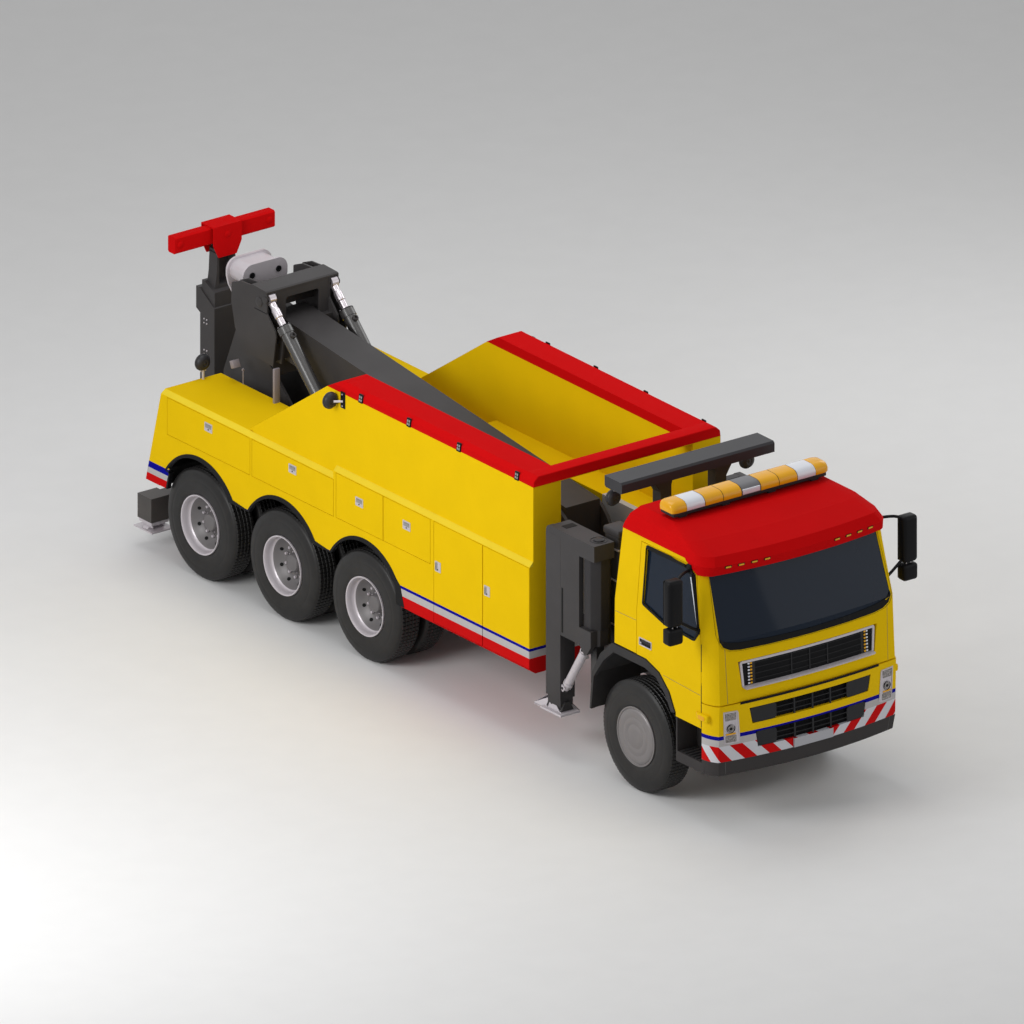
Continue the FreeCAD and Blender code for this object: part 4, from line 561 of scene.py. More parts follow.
def grownBy(outline, rise):
    # an outline pushed outwards, each corner along the middle of its two sides' normals
    grown = []
    turn = sum(a[0] * b[1] - b[0] * a[1] for a, b in zip(outline, outline[1:] + outline[:1]))
    sign = 1 if turn > 0 else -1
    for index, here in enumerate(outline):
        before, here = Vector(outline[index - 1]), Vector(here)
        after = Vector(outline[(index + 1) % len(outline)])
        runs = (here - before).normalized(), (after - here).normalized()
        normals = [Vector((run.y, -run.x)) * sign for run in runs]
        middle = (normals[0] + normals[1]).normalized()
        grown.append(tuple(here + middle * rise / max(middle.dot(normals[0]), 0.4)))
    return tuple(grown)


def bothSides(make, *steps):
    # makes a piece for the left side, then for the right
    for label, side in sides.items():
        make(label, side, Vector((side, 0, 0)))


view = {"turn": -36.9, "tilt": 21.8, "middle": (0.0, 0.012, 1.672), "width": 10.723, "far": 30.0}
studio = {
    "floor": 60.0, "floorTone": (0.80, 0.80, 0.80), "sky": 0.42, "backdrop": 0.9, "aim": Vector((0, 0, 1.2)),
    "lamps": (  # name, place, size, watts
        ("key", (-13.0, -1.0, 8.0), 7.0, 930.0), ("fill", (7.0, -12.0, 6.0), 8.0, 130.0),
        ("top", (0.0, 2.0, 14.0), 9.0, 500.0), ("back", (11.0, 2.0, 9.0), 7.0, 260.0)),
}


def makeCamera():
    turn, tilt = math.radians(view["turn"]), math.radians(view["tilt"])
    out = Vector((math.sin(turn) * math.cos(tilt), -math.cos(turn) * math.cos(tilt), math.sin(tilt)))
    lens = bpy.data.cameras.new("camera")
    lens.type = "ORTHO"
    lens.ortho_scale = view["width"]
    lens.clip_end = 200.0
    camera = bpy.data.objects.new("camera", lens)
    scene.collection.objects.link(camera)
    camera.location = Vector(view["middle"]) + out * view["far"]
    camera.rotation_euler = (-out).to_track_quat("-Z", "Y").to_euler()
    scene.camera = camera


def makeStudio():
    bm = bmesh.new()
    bmesh.ops.create_grid(bm, x_segments=1, y_segments=1, size=studio["floor"])
    mesh = bpy.data.meshes.new("floor")
    bm.to_mesh(mesh)
    bm.free()
    floor = bpy.data.objects.new("floor", mesh)
    scene.collection.objects.link(floor)
    mesh.materials.append(makeFinish("floorPaint", studio["floorTone"], 0.8, shade=0.01, bump=0.0))
    world = bpy.data.worlds.new("studio")
    scene.world = world
    world.use_nodes = True
    tree = world.node_tree
    rays = tree.nodes.new("ShaderNodeLightPath").outputs
    seen = rays["Is Camera Ray"]
    for kind in ("Is Glossy Ray", "Is Transmission Ray"):
        seen = addNode(tree, "Math", {0: seen, 1: rays[kind]}, operation="MAXIMUM").outputs[0]
    level = addNode(tree, "MapRange", {"To Min": studio["sky"], "To Max": studio["backdrop"], "Value": seen})
    setSockets(tree, tree.nodes["Background"], {"Strength": level.outputs[0], "Color": (1.0, 1.0, 1.0, 1.0)})
    for name, place, size, watts in studio["lamps"]:
        light = bpy.data.lights.new(name, "AREA")
        light.shape = "DISK"
        light.size = size
        light.energy = watts
        thing = bpy.data.objects.new(name, light)
        scene.collection.objects.link(thing)
        thing.location = place
        thing.rotation_euler = (studio["aim"] - Vector(place)).to_track_quat("-Z", "Y").to_euler()
    scene.view_settings.view_transform = "Standard"


makeCamera()
makeStudio()
print("camera, floor and light")


tyre = {
    # half a section: distance from the tyre's middle as a share of half its width, and radius
    "bead": ((0.885, 0.3068), (0.915, 0.322), (0.945, 0.335), (0.965, 0.345), (0.972, 0.352), (0.982, 0.356),
             (0.990, 0.385), (0.995, 0.42), (0.998, 0.455), (0.990, 0.475), (0.983, 0.482), (0.988, 0.490),
             (0.975, 0.518), (0.945, 0.545), (0.905, 0.566), (0.860, 0.582), (0.800, 0.594)),
    "tread": ((0.72, 0.599), (0.46, 0.600), (0.42, 0.600), (0.16, 0.601), (0.12, 0.601)),
    "high": 0.613, "steps": 84, "treadRadius": 0.5955, "blockArea": 0.0006, "blockRise": 0.010, "blockGap": 0.007,
}
# rings of fittings: how many, how far out from the hub's middle, radius, shift in steps
rearRim = {
    "profile": ((0.330, 0.327), (0.331, 0.320), (0.328, 0.313), (0.316, 0.309), (0.300, 0.304), (0.285, 0.301),
                (0.250, 0.297), (0.242, 0.290), (0.234, 0.281), (0.206, 0.262), (0.172, 0.232), (0.146, 0.205),
                (0.138, 0.190), (0.134, 0.142), (0.150, 0.118), (0.164, 0.104), (0.190, 0.098),
                (0.206, 0.086), (0.211, 0.060), (0.211, 0.0)),
    "back": ((-0.052, 0.0), (-0.052, 0.130), (0.060, 0.140), (0.100, 0.272), (-0.200, 0.286), (-0.300, 0.300),
             (-0.328, 0.313), (-0.331, 0.321), (-0.330, 0.327), (-0.311, 0.327), (-0.311, 0.306), (0.311, 0.306),
             (0.311, 0.327), (0.330, 0.327)),
    "nuts": (10, 0.132, 0.166), "shadedHoles": (8, 0.171, 0.231, 0.5), "screws": (10, 0.150, 0.112, 0.5),
    # how deep and how far out the painted shade on the recessed disc reaches
    "dish": (0.22, 0.289),
}
frontRim = {
    "profile": ((0.158, 0.327), (0.160, 0.322), (0.159, 0.313), (0.152, 0.309), (0.150, 0.304), (0.154, 0.300),
                (0.160, 0.292), (0.163, 0.270), (0.163, 0.225), (0.160, 0.215), (0.160, 0.206), (0.164, 0.196),
                (0.165, 0.150), (0.161, 0.140), (0.161, 0.130), (0.166, 0.118), (0.167, 0.060), (0.166, 0.0)),
    "back": ((-0.056, 0.0), (-0.056, 0.120), (0.020, 0.140), (0.020, 0.286), (-0.100, 0.291), (-0.140, 0.300),
             (-0.156, 0.320), (-0.156, 0.327), (-0.143, 0.327), (-0.143, 0.306), (0.142, 0.306), (0.142, 0.327),
             (0.158, 0.327)),
}
wheels = {
    "front": {"middles": (1.0225,), "width": 0.315, "rim": frontRim, "tone": "cap"},
    "rear": {"middles": (1.0925, 0.7475), "width": 0.305, "rim": rearRim, "tone": "silver"},
}


def makeTyre(bm, centre, width):
    edge = tyre["bead"] + tyre["tread"]
    profile = [(-share * width / 2, radius) for share, radius in edge]
    profile += [(share * width / 2, radius) for share, radius in reversed(edge)]
    made = addSpin(bm, profile, centre, tyre["steps"])
    tread = [face for face in made if (face.calc_center_median() - centre).yz.length > tyre["treadRadius"]]
    blocks = [face for face in tread if abs(face.normal.x) < 0.5 and face.calc_area() > tyre["blockArea"]]
    bmesh.ops.recalc_face_normals(bm, faces=made)
    bmesh.ops.inset_individual(bm, faces=blocks, thickness=tyre["blockGap"], depth=tyre["blockRise"],
                               use_even_offset=True)


def spotsAround(centre, side, count, along, radius, shift=0.0):
    # places on a circle about a wheel's axis, each with its turn
    for index in range(count):
        turn = Matrix.Rotation(math.tau * (index + shift) / count, 3, "X")
        yield turn, centre + turn @ Vector((side * along, 0, radius))


def makeRim(bm, centre, side, shape):
    profile = [(side * along, radius) for along, radius in shape["profile"] + shape["back"]]
    made = addSpin(bm, profile, centre)
    if "nuts" not in shape:
        return
    out = Vector((side, 0, 0))
    deep, edge = shape["dish"]
    for face in made:  # the disc between the bright edge and the hub, given a darker grey as painted shade in the recess
        middle = face.calc_center_median() - centre
        if abs(middle.x) < deep and middle.yz.length < edge:
            face.material_index = 2
    for _, spot in spotsAround(centre, side, *shape["nuts"]):
        addTube(bm, spot, spot + out * 0.012, 0.020, segments=16, slot=2)
        addTube(bm, spot, spot + out * 0.034, 0.0155, 0.0145, segments=6)
    # hand holes: black discs, painted shade standing in for the openings through the disc
    for turn, spot in spotsAround(centre, side, *shape["shadedHoles"]):
        across = turn @ Vector((side * 0.7, 0, -0.7))
        addTube(bm, spot - across * 0.004, spot + across * 0.0062, 0.020, segments=20, slot=1)
    for _, spot in spotsAround(centre, side, *shape["screws"]):
        addTube(bm, spot, spot + out * 0.012, 0.007, segments=6)


def makeWheels():
    for name in [node for node in nodes if node.startswith("wheel_")]:
        label = name.removeprefix("wheel_")
        kind = wheels["front" if label.startswith("front") else "rear"]
        side = sides[label.rpartition("_")[2]]
        spots = [Vector((side * x, middleOf(name).y, tyre["high"])) for x in kind["middles"]]
        bm = bmesh.new()
        for spot in spots:
            makeTyre(bm, spot, kind["width"])
        finishPiece(f"tyre_{label}", bm, name, "tyre", replaces=(name,), sharp=50.0)
        bm = bmesh.new()
        makeRim(bm, sum(spots, Vector()) / len(spots), side, kind["rim"])
        finishPiece(f"rim_{label}", bm, name, kind["tone"] + " rubber dish")


makeWheels()
print("wheels")


lightBar = {
    "front": -0.450, "rear": -0.180, "foot": 3.218, "top": 3.327, "gap": 0.004, "joint": 0.985,
    "edges": (-1.023, -0.845, -0.605, -0.365, -0.125, 0.125, 0.365, 0.605, 0.845, 1.023),
    "lenses": ("amber", "white", "amber", "amber", "beacon", "amber", "amber", "white", "amber"),
    # the rounded tips: distance in from the end, and the share of the section left
    "tip": ((0.178, 1.0), (0.080, 1.0), (0.050, 0.975), (0.025, 0.92), (0.008, 0.83), (0.0, 0.72)),
    "feet": (-0.86, -0.3, 0.3, 0.86),
}


def lensSection(x, squeeze):
    # the lens's outline across the truck at x; squeeze draws in the rounded ends
    fore, aft = lightBar["front"], lightBar["rear"]
    middle = (fore + aft) / 2
    foot, top = lightBar["foot"], lightBar["top"]
    shape = ((fore + 0.006, foot), (fore, foot + 0.012), (fore, foot + 0.05), (fore + 0.016, foot + 0.078),
             (fore + 0.045, top - 0.010), (fore + 0.085, top), (aft - 0.055, top), (aft - 0.022, top - 0.012),
             (aft - 0.006, foot + 0.072), (aft, foot + 0.05), (aft, foot + 0.012), (aft - 0.006, foot))
    return [at(x, middle + (y - middle) * squeeze, foot + (z - foot) * (0.35 + 0.65 * squeeze)) for y, z in shape]


def addLens(bm, stations, slot, closed=True):
    # a skin through the sections at some distances from the middle
    rings = []
    for x, squeeze in stations:
        verts = [bm.verts.new(point) for point in lensSection(x, squeeze)]
        rings.append([bm.edges.new(ends) for ends in zip(verts, verts[1:] + verts[:1])])
    before = set(bm.faces)
    for one, other in zip(rings, rings[1:]):
        bmesh.ops.bridge_loops(bm, edges=one + other)
    for ring in (rings[0], rings[-1]) if closed else ():
        bmesh.ops.contextual_create(bm, geom=ring)
    paint(newFaces(bm, before), slot)


def makeLightBar():
    bm = bmesh.new()
    tones = ["amber", "white", "beacon", "rubber"]
    edges, gap, joint = lightBar["edges"], lightBar["gap"], lightBar["joint"]
    for start, end, tone in zip(edges, edges[1:], lightBar["lenses"]):
        stations = [(start + gap, 1.0), (end - gap, 1.0)]
        for tip in (start, end):
            if abs(tip) == edges[-1]:
                stations = [(tip - math.copysign(back, tip), squeeze) for back, squeeze in lightBar["tip"]]
        addLens(bm, stations, tones.index(tone))
    for cut in edges[1:-1]:
        addLens(bm, [(cut - gap, joint), (cut + gap, joint)], tones.index("rubber"), closed=False)
    addBox(bm, at(-0.114, lightBar["front"] - 0.003, 3.226), at(0.114, lightBar["front"] + 0.03, 3.284), 0.006,
           slot=tones.index("white"))
    finishPiece("beacon_lenses", bm, "root", " ".join(tones), replaces=("roof_light_bar",), sharp=40.0)
    bm = bmesh.new()
    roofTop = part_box("cab_roof")[1][2]
    addBox(bm, at(-1.0, -0.425, 3.170), at(1.0, -0.195, 3.2185), 0.008, 3)
    for x in lightBar["feet"]:
        addBox(bm, at(x - 0.05, -0.41, roofTop + 0.0005), at(x + 0.05, -0.21, 3.175), 0.006)
    for x in [0.125 * step for step in range(-7, 8)]:
        addTube(bm, at(x, -0.427, 3.194), at(x, -0.422, 3.194), 0.006, segments=8)
    finishPiece("beacon_base", bm, "root", "grey")


makeLightBar()
print("light bar")


def mirrored(half, middle):
    # left to right, from the right half and the point between
    return [(-x, *rest) for x, *rest in half] + [middle] + list(reversed(half))


def trapezium(foot, head, low, high):
    return (-foot, low), (foot, low), (head, high), (-head, high)


def frontSheet(bm, box, names, lift, depth, step=0.12, axis=0, **more):
    addSheet(bm, rectangle(*box), axis, step, onFront(*names.split(), lift=lift), forward(depth), **more)


def sideSheet(bm, outline, node, side, lift, depth, step=1.0, axis=1, **more):
    addSheet(bm, outline, axis, step, onSide(node, side, lift), Vector((side * depth, 0, 0)), **more)


cab = {
    "window": ((-1.152, 2.172), (-1.052, 2.793), (-1.010, 2.823), (-0.911, 2.843), (-0.237, 2.833),
               (-0.194, 2.190), (-0.561, 2.091), (-1.079, 2.069)),
    "screen": (*mirrored(((1.146, 2.180), (1.132, 2.095), (1.095, 2.030), (1.020, 1.988), (0.870, 1.968),
                          (0.5, 1.960)), (0.0, 1.957)), (1.098, 2.790), (-1.098, 2.790)),
    "sill": mirrored(((1.120, 2.110, 2.150), (1.082, 2.040, 2.104), (1.0, 1.996, 2.076), (0.870, 1.978, 2.056),
                      (0.5, 1.968, 2.036)), (0.0, 1.965, 2.026)),
    "markers": (0.930, 0.775, 0.615, 0.458),
}
front = {  # half width at the foot and at the head, foot and head of each grille
    "upper": (0.850, 0.873, 1.543, 1.828), "middle": (0.758, 0.793, 1.135, 1.314),
    "lower": (0.694, 0.721, 0.864, 1.036), "ends": ((0.752, 0.787, 1.139, 1.310), (0.688, 0.715, 0.868, 1.032)),
    "posts": (-0.235, 0.0, 0.235), "barHalf": 0.690, "bars": (1.604, 1.668, 1.732, 1.790), "meshHalf": 0.459,
    "leds": 7, "lamp": {"x": 1.022, "top": (1.222, 1.312), "round": 1.128, "low": (0.972, 1.052)},
}


def makeWindowSeal(label, side, out):
    bm = bmesh.new()
    outline = [at(0, y, z) for y, z in grownBy(cab["window"], 0.022)]
    addRing(bm, outline, 0.030, 0.030, 4, onSide(f"door_{label}", side, -0.004), out * 0.010)
    finishPiece(f"window_seal_{label}", bm, f"door_{label}", "rubber")


def makeScreenSeal():
    names = "windscreen", "cab_shell"
    bm = bmesh.new()
    outline = [at(x, 0, z) for x, z in cab["screen"]]
    addRing(bm, outline, 0.030, 0.0, 6, onFront(*names, lift=0.004), forward(0.006))
    for (x0, low0, high0), (x1, low1, high1) in zip(cab["sill"], cab["sill"][1:]):  # dark band along the foot
        addSheet(bm, [at(x0, 0, low0), at(x1, 0, low1), at(x1, 0, high1), at(x0, 0, high0)], 0, 0.05,
                 onFront(*names, lift=0.0035), forward(0.003))
    finishPiece("screen_seal", bm, "root", "rubber")


def onJoint(place):
    # one depth from top to bottom, in front of the cab's foot and of the bumper's brim
    depths = [outsideY(node, place.x, z) for node in ("front_bumper", "cab_shell") for z in (1.37, 1.39, 1.41)]
    return Vector((place.x, min(depths) - 0.001, place.z))


def makeGrilles():
    shell, bumper = "cab_shell", "front_bumper"
    bm = bmesh.new()
    for label, node, inset, lift in (("upper", shell, 0.010, 0.022), ("middle", bumper, 0.004, 0.0015),
                                     ("lower", bumper, 0.004, 0.0015)):
        outline = [at(x, 0, z) for x, z in grownBy(trapezium(*front[label]), -inset)]
        addSheet(bm, outline, 0, 0.11, onFront(node, lift=lift), forward(0.002), rounding=0.030)
    finishPiece("grille_backing", bm, "root", "black")
    bm = bmesh.new()
    half = front["barHalf"]
    for z in [1.560 + 0.0135 * step for step in range(20)]:  # fine wires behind the main bars
        frontSheet(bm, (-half, half, z, z + 0.004), shell, 0.023, 0.004, slot=1)
    for z in front["bars"]:
        frontSheet(bm, (-half, half, z, z + 0.006), shell, 0.026, 0.005)
    for x in front["posts"]:
        frontSheet(bm, (x - 0.007, x + 0.007, 1.552, 1.822), shell, 0.026, 0.007, 0.3, axis=2)
    half = front["meshHalf"]
    for start, end in (front["middle"][2:], front["lower"][2:]):
        rise = (end - start) / 3
        for z in (start + rise - 0.004, start + 2 * rise - 0.004):
            frontSheet(bm, (-half, half, z, z + 0.008), bumper, 0.036, 0.004)
        for z in [start + 0.006 + 0.012 * step for step in range(14)]:
            frontSheet(bm, (-half, half, z, z + 0.0035), bumper, 0.008, 0.004, slot=1)
        for x in front["posts"]:
            frontSheet(bm, (x - 0.010, x + 0.010, start + 0.004, end - 0.004), bumper, 0.036, 0.007, 0.3, axis=2)
    finishPiece("grille_bars", bm, "root", "grey black")
    bm = bmesh.new()
    outline = [at(x, 0, z) for x, z in grownBy(trapezium(*front["upper"]), 0.010)]
    addRing(bm, outline, 0.027, 0.030, 5, onFront(shell), forward(0.036))
    finishPiece("grille_frame", bm, "root", "silver", replaces=("grille",))
    bm = bmesh.new()  # end panels of the lower grilles, with rounded outer corners
    for side in (-1, 1):
        for foot, head, start, end in front["ends"]:
            outline = [at(side * x, 0, z) for x, z in ((half, start), (foot, start), (head, end), (half, end))]
            addSheet(bm, outline, 0, 0.11, onFront(bumper, lift=0.022), forward(0.016), rounding=0.034)
    finishPiece("grille_ends", bm, "root", "grey")
    bm = bmesh.new()  # indicator columns beside the upper grille
    for side in (-1, 1):
        x = side * 0.758
        frontSheet(bm, (side * 0.692, side * 0.732, 1.556, 1.818), shell, 0.023, 0.004, 0.1, slot=2)
        for step in range(front["leds"]):
            z = 1.572 + 0.036 * step
            for left in (-0.026, 0.003):
                frontSheet(bm, (x + left, x + left + 0.023, z, z + 0.018), shell, 0.028, 0.007, 0.1, rounding=0.003,
                           slot=0 if left * side < 0 else 3)
            frontSheet(bm, (x - 0.030, x + 0.030, z - 0.005, z + 0.023), shell, 0.023, 0.006, 0.1, slot=1)
    finishPiece("grille_indicators", bm, "root", "amber black grey white")
    bm = bmesh.new()  # black joint between the cab and the bumper
    addSheet(bm, rectangle(-0.905, 0.905, 1.377, 1.403), 0, 0.05, onJoint, forward(0.003))
    finishPiece("bumper_joint", bm, "root", "black")


def makeHeadlight(label, side, out):
    size = front["lamp"]
    x, lens = side * size["x"], "headlights"
    onLens = onFront(lens)
    onLamp = onFront(lens, "front_bumper", lift=0.0005)  # the bumper, where the lamp's rim reaches past its face
    rim = ((0.908, 0.964), (1.094, 0.966), (1.107, 1.322), (0.934, 1.316))
    inner = ((0.912, 0.968), (0.960, 0.968), (0.968, 1.312), (0.938, 1.312))
    bm = bmesh.new()
    addRing(bm, [at(side * u, 0, v) for u, v in rim], 0.010, 0.020, 3, onLamp, forward(0.006))
    addSheet(bm, [at(side * u, 0, v) for u, v in inner], 0, 0.02, onLamp, forward(0.002))
    for low, high, left, right in ((*size["top"], -0.062, 0.068), (*size["low"], -0.068, 0.060)):
        frontSheet(bm, (x + side * left, x + side * right, low, high), lens, 0.0, 0.005, 0.03, rounding=0.014, slot=1)
        for row in range(4):  # lens ribs
            z = low + (high - low) * (row + 0.6) / 4.4
            frontSheet(bm, (x + side * (left + 0.008), x + side * (right - 0.008), z, z + 0.006), lens, 0.0, 0.0075,
                       0.05, slot=1)
    middle = at(x, 0, size["round"])
    addRing(bm, disc(middle, 0.047, "Y"), 0.012, 0.0, 1, onLens, forward(0.012), slot=2)
    addSheet(bm, disc(middle, 0.036, "Y"), 0, 0.02, onLens, forward(0.007), slot=1)
    addSheet(bm, disc(middle, 0.016, "Y", 16), 0, 0.02, onLens, forward(0.010), slot=2)
    frontSheet(bm, (x - 0.058, x + 0.058, 1.060, 1.076), lens, 0.0, 0.006, 0.03, rounding=0.004, slot=3)
    finishPiece(f"headlight_lenses_{label}", bm, "root", "silver headlens black amber")
    bm = bmesh.new()  # repeater box on the corner
    addSideBox(bm, side, (1.165, 1.256), (-1.345, -1.150), (1.200, 1.282), 0.020, 4)
    addSideBox(bm, side, (1.182, 1.242), (-1.1535, -1.136), (1.205, 1.275), 0.006, slot=1)
    addSheet(bm, sideRectangle(-1.300, -1.190, 1.218, 1.262), 1, 0.05, onPlane(side * 1.2565), out * 0.003,
             rounding=0.010, slot=1)
    finishPiece(f"repeater_{label}", bm, "root", "yellow amber")


def makeMarkers():
    bm = bmesh.new()
    for x in [side * x for x in cab["markers"] for side in (-1, 1)]:
        for half, low, high, depth, rounding, slot in ((0.040, 2.862, 2.892, 0.006, 0.008, 1),
                                                       (0.031, 2.868, 2.886, 0.011, 0.006, 0)):
            frontSheet(bm, (x - half, x + half, low, high), "cab_roof", -0.002, depth, 0.03, rounding=rounding,
                       slot=slot)
    finishPiece("visor_markers", bm, "root", "amber black")


bothSides(makeWindowSeal)
makeScreenSeal()
makeGrilles()
bothSides(makeHeadlight)
makeMarkers()
print("cab front")


cabSide = {
    "handle": (-0.344, -0.126, 1.706, 1.796), "swage": ((-0.545, 1.493), (-1.192, 1.470)),
    "pillar": ((-1.026, 2.752), (-1.150, 2.180)), "rearJoint": ((-1.2075, 1.120), (-1.2075, 2.050)),
    "panelLine": ((-0.070, 1.962), (0.292, 1.955)),
    "cornerLine": ((1.060, 2.02), (1.064, 2.02), (1.050, 1.405), (1.046, 1.405)),
    "bumperLine": ((1.075, 0.760), (1.079, 0.760), (1.062, 0.605), (1.058, 0.605)),
    "mirror": {  # foot, head and rounding of the two heads; the arms run from the door
        "x": (1.440, 1.630), "y": (-1.196, -1.064), "heads": ((2.306, 2.830, 0.044), (2.102, 2.288, 0.036)),
        "highArm": ((1.205, -0.985, 2.812), (1.255, -1.002, 2.818), (1.340, -1.046, 2.828),
                    (1.430, -1.100, 2.826), (1.480, -1.125, 2.790)),
        "lowArm": ((1.222, -1.150, 2.192), (1.280, -1.147, 2.218), (1.380, -1.138, 2.284),
                   (1.470, -1.130, 2.345)),
    },
}


def makeDoorTrim(label, side, out):
    door, sunk = f"door_{label}", -0.0005
    y0, y1, z0, z1 = cabSide["handle"]
    bm = bmesh.new()
    addRing(bm, sideRectangle(y0, y1, z0, z1), 0.012, 0.012, 2, onSide(door, side, sunk), out * 0.007)
    sideSheet(bm, sideRectangle(y0 + 0.010, y1 - 0.010, z0 + 0.010, z1 - 0.010), door, side, sunk, 0.0015, 0.2,
              slot=1)
    sideSheet(bm, sideRectangle(y0 + 0.016, y1 - 0.050, z0 + 0.048, z1 - 0.014), door, side, 0.004, 0.009, 0.06,
              rounding=0.008, slot=2)
    sideSheet(bm, disc(at(0, y1 - 0.030, z0 + 0.030), 0.011, "X", 16), door, side, 0.001, 0.004, 0.2)
    finishPiece(f"door_handle_{label}", bm, door, "silver black grey")
    bm = bmesh.new()  # pressed line above the arch, a thin dark strip of painted shade in the crease, and the bright strip beside the glass
    sideSheet(bm, strip(*cabSide["swage"], 0.004), door, side, sunk, 0.0012, 0.2)
    sideSheet(bm, strip(*cabSide["pillar"], 0.016), door, side, sunk, 0.004, 0.1, axis=2, slot=1)
    finishPiece(f"door_lines_{label}", bm, door, "trim white")
    bm = bmesh.new()  # joints in the rear panel and at the corner of the front
    sideSheet(bm, strip(*cabSide["rearJoint"], 0.012), "cab_shell", side, sunk, 0.0014, 0.1, axis=2, slot=1)
    sideSheet(bm, strip(*cabSide["panelLine"], 0.004), "cab_shell", side, sunk, 0.0012, 0.2)
    for node, key in (("cab_shell", "cornerLine"), ("front_bumper", "bumperLine")):
        addSheet(bm, [Vector((side * x, 0, z)) for x, z in cabSide[key]], 2, 0.2, onFront(node, lift=-0.0008),
                 forward(0.0014))
    finishPiece(f"panel_joints_{label}", bm, "root", "trim rubber")


def makeMirror(label, side, out):
    size = cabSide["mirror"]
    bm = bmesh.new()
    x0, x1 = sorted((side * size["x"][0], side * size["x"][1]))
    near, far = size["y"]
    for low, high, tip in size["heads"]:
        addBox(bm, at(x0, near, low), at(x1, far, high), tip, 6)
        addBox(bm, at(x0 + 0.020, far - 0.006, low + 0.022), at(x1 - 0.020, far + 0.0015, high - 0.022), 0.006,
               slot=1)
        addBox(bm, at(x0 + 0.010, far - 0.012, low + 0.012), at(x1 - 0.010, far - 0.001, high - 0.012), 0.010,
               slot=2)
    addSideTube(bm, side, (1.520, -1.110, 2.275), {2: 2.320}, 0.016, slot=2)
    for x in (1.500, 1.560):  # bolts between the two heads
        addSideTube(bm, side, (x, -1.150, 2.284), {2: 2.310}, 0.007, segments=12, slot=3)
    addSideBox(bm, side, (1.190, 1.226), (-1.020, -0.950), (2.775, 2.880), 0.006, slot=2)
    addSideBox(bm, side, (1.205, 1.242), (-1.180, -1.120), (2.150, 2.215), 0.006, slot=2)
    finishPiece(f"mirror_heads_{label}", bm, f"door_{label}", "black mirror rubber silver",
                replaces=(f"mirror_{label}",), sharp=50.0)
    arms = [[at(side * x, y, z) for x, y, z in size[key]] for key in ("highArm", "lowArm")]
    makeRods(f"mirror_arms_{label}", arms, 0.0165, f"door_{label}", "black")


def makeStep(label, side, out):
    bm = bmesh.new()
    for y in [-1.160 + 0.062 * index for index in range(6)]:  # treads of the step
        addSideBox(bm, side, (0.985, 1.205), (y, y + 0.026), (0.716, 0.7235), 0.002)
        for x in (1.02, 1.065, 1.11, 1.155):
            addSideTube(bm, side, (x, y + 0.013, 0.7215), {2: 0.7265}, 0.008, endRadius=0.006, segments=12)
    finishPiece(f"step_tread_{label}", bm, "root", "grey")


for make in (makeDoorTrim, makeMirror, makeStep):
    bothSides(make)
print("cab sides")


bodyTrim = {
    "archEnd": ((8.014, 1.062), (8.036, 1.124), (8.100, 1.090), (8.190, 0.960), (8.190, 0.858), (8.067, 0.858)),
    "lining": ((8.050, 1.246), (8.050, 1.095), (8.070, 1.064), (8.093, 1.028), (8.122, 0.972), (8.146, 0.912),
               (8.162, 0.850)),
    "bolts": (0.64, 0.89, 1.14),
    "flaps": {"a": 7.321, "b": 5.855, "c": 4.690, "d": 3.865}, "flapHigh": 1.780,
    "tall": {"e": 3.319, "f": 2.463}, "tallHigh": 1.490,
    "axles": (4.638, 6.075, 7.512), "archHigh": 0.690, "archSpan": 0.680, "valley": 1.066, "rim": 0.025,
    "lip": 0.026, "lean": 0.036, "archSteps": 36, "archX": 1.2785,
    "capLamps": (4.728, 3.891, 3.019, 2.007), "capLampHigh": (2.878, 2.972),
}


def makeHandles(label, side, out):
    spots = [(key, y, bodyTrim["flapHigh"], 0.066, 0.050) for key, y in bodyTrim["flaps"].items()]
    spots += [(key, y, bodyTrim["tallHigh"], 0.050, 0.058) for key, y in bodyTrim["tall"].items()]
    for key, y, z, half, rise in spots:
        locker = f"locker_{key}_{label}"
        left, right, low, high = y - half, y + half, z - rise, z + rise
        if key in bodyTrim["flaps"]:
            inset, grip = (left + 0.014, right - 0.014, low + 0.040, high - 0.014), (0, 0.016)
        else:
            inset, grip = (y + 0.004, right - 0.012, low + 0.012, high - 0.012), (0.016, 0)
        bar = (inset[0] + 0.010 + grip[0], inset[1] - 0.010, inset[2] + 0.010 + grip[1], inset[3] - 0.010)
        bm = bmesh.new()
        sideSheet(bm, sideRectangle(left, right, low, high), locker, side, -0.0005, 0.005, rounding=0.006)
        sideSheet(bm, sideRectangle(*inset), locker, side, 0.0045, 0.0012, rounding=0.004, slot=1)
        sideSheet(bm, sideRectangle(*bar), locker, side, 0.005, 0.008, rounding=0.005, slot=1)
        sideSheet(bm, disc(at(0, y, low + 0.026), 0.008, "X", 16), locker, side, 0.005, 0.003, slot=2)
        finishPiece(f"locker_handle_{key}_{label}", bm, locker, "silver inset black")


def archPath():
    # pairs of (y, z): the edge of the arches, and the same a rim's width nearer the wheels
    size = bodyTrim
    span, high, rim, valley = size["archSpan"], size["archHigh"], size["rim"], size["valley"]
    start = math.asin((valley - high) / span)
    arches = []
    for axle in size["axles"]:
        for step in range(size["archSteps"] + 1):
            turn = start + (math.pi - 2 * start) * step / size["archSteps"]
            reach = max(span + 0.002, span + size["lip"] + size["lean"] * math.cos(turn))
            arches.append(tuple((axle - radius * math.cos(turn), high + radius * math.sin(turn))
                                for radius in (reach, span - rim)))
    return [((3.906, 0.840), (4.045, 0.838)), ((3.975, valley), (4.062, valley - rim)), *arches[1:],
            ((8.010, valley), (7.996, valley - rim)), ((8.066, 0.860), (8.041, 0.858))]


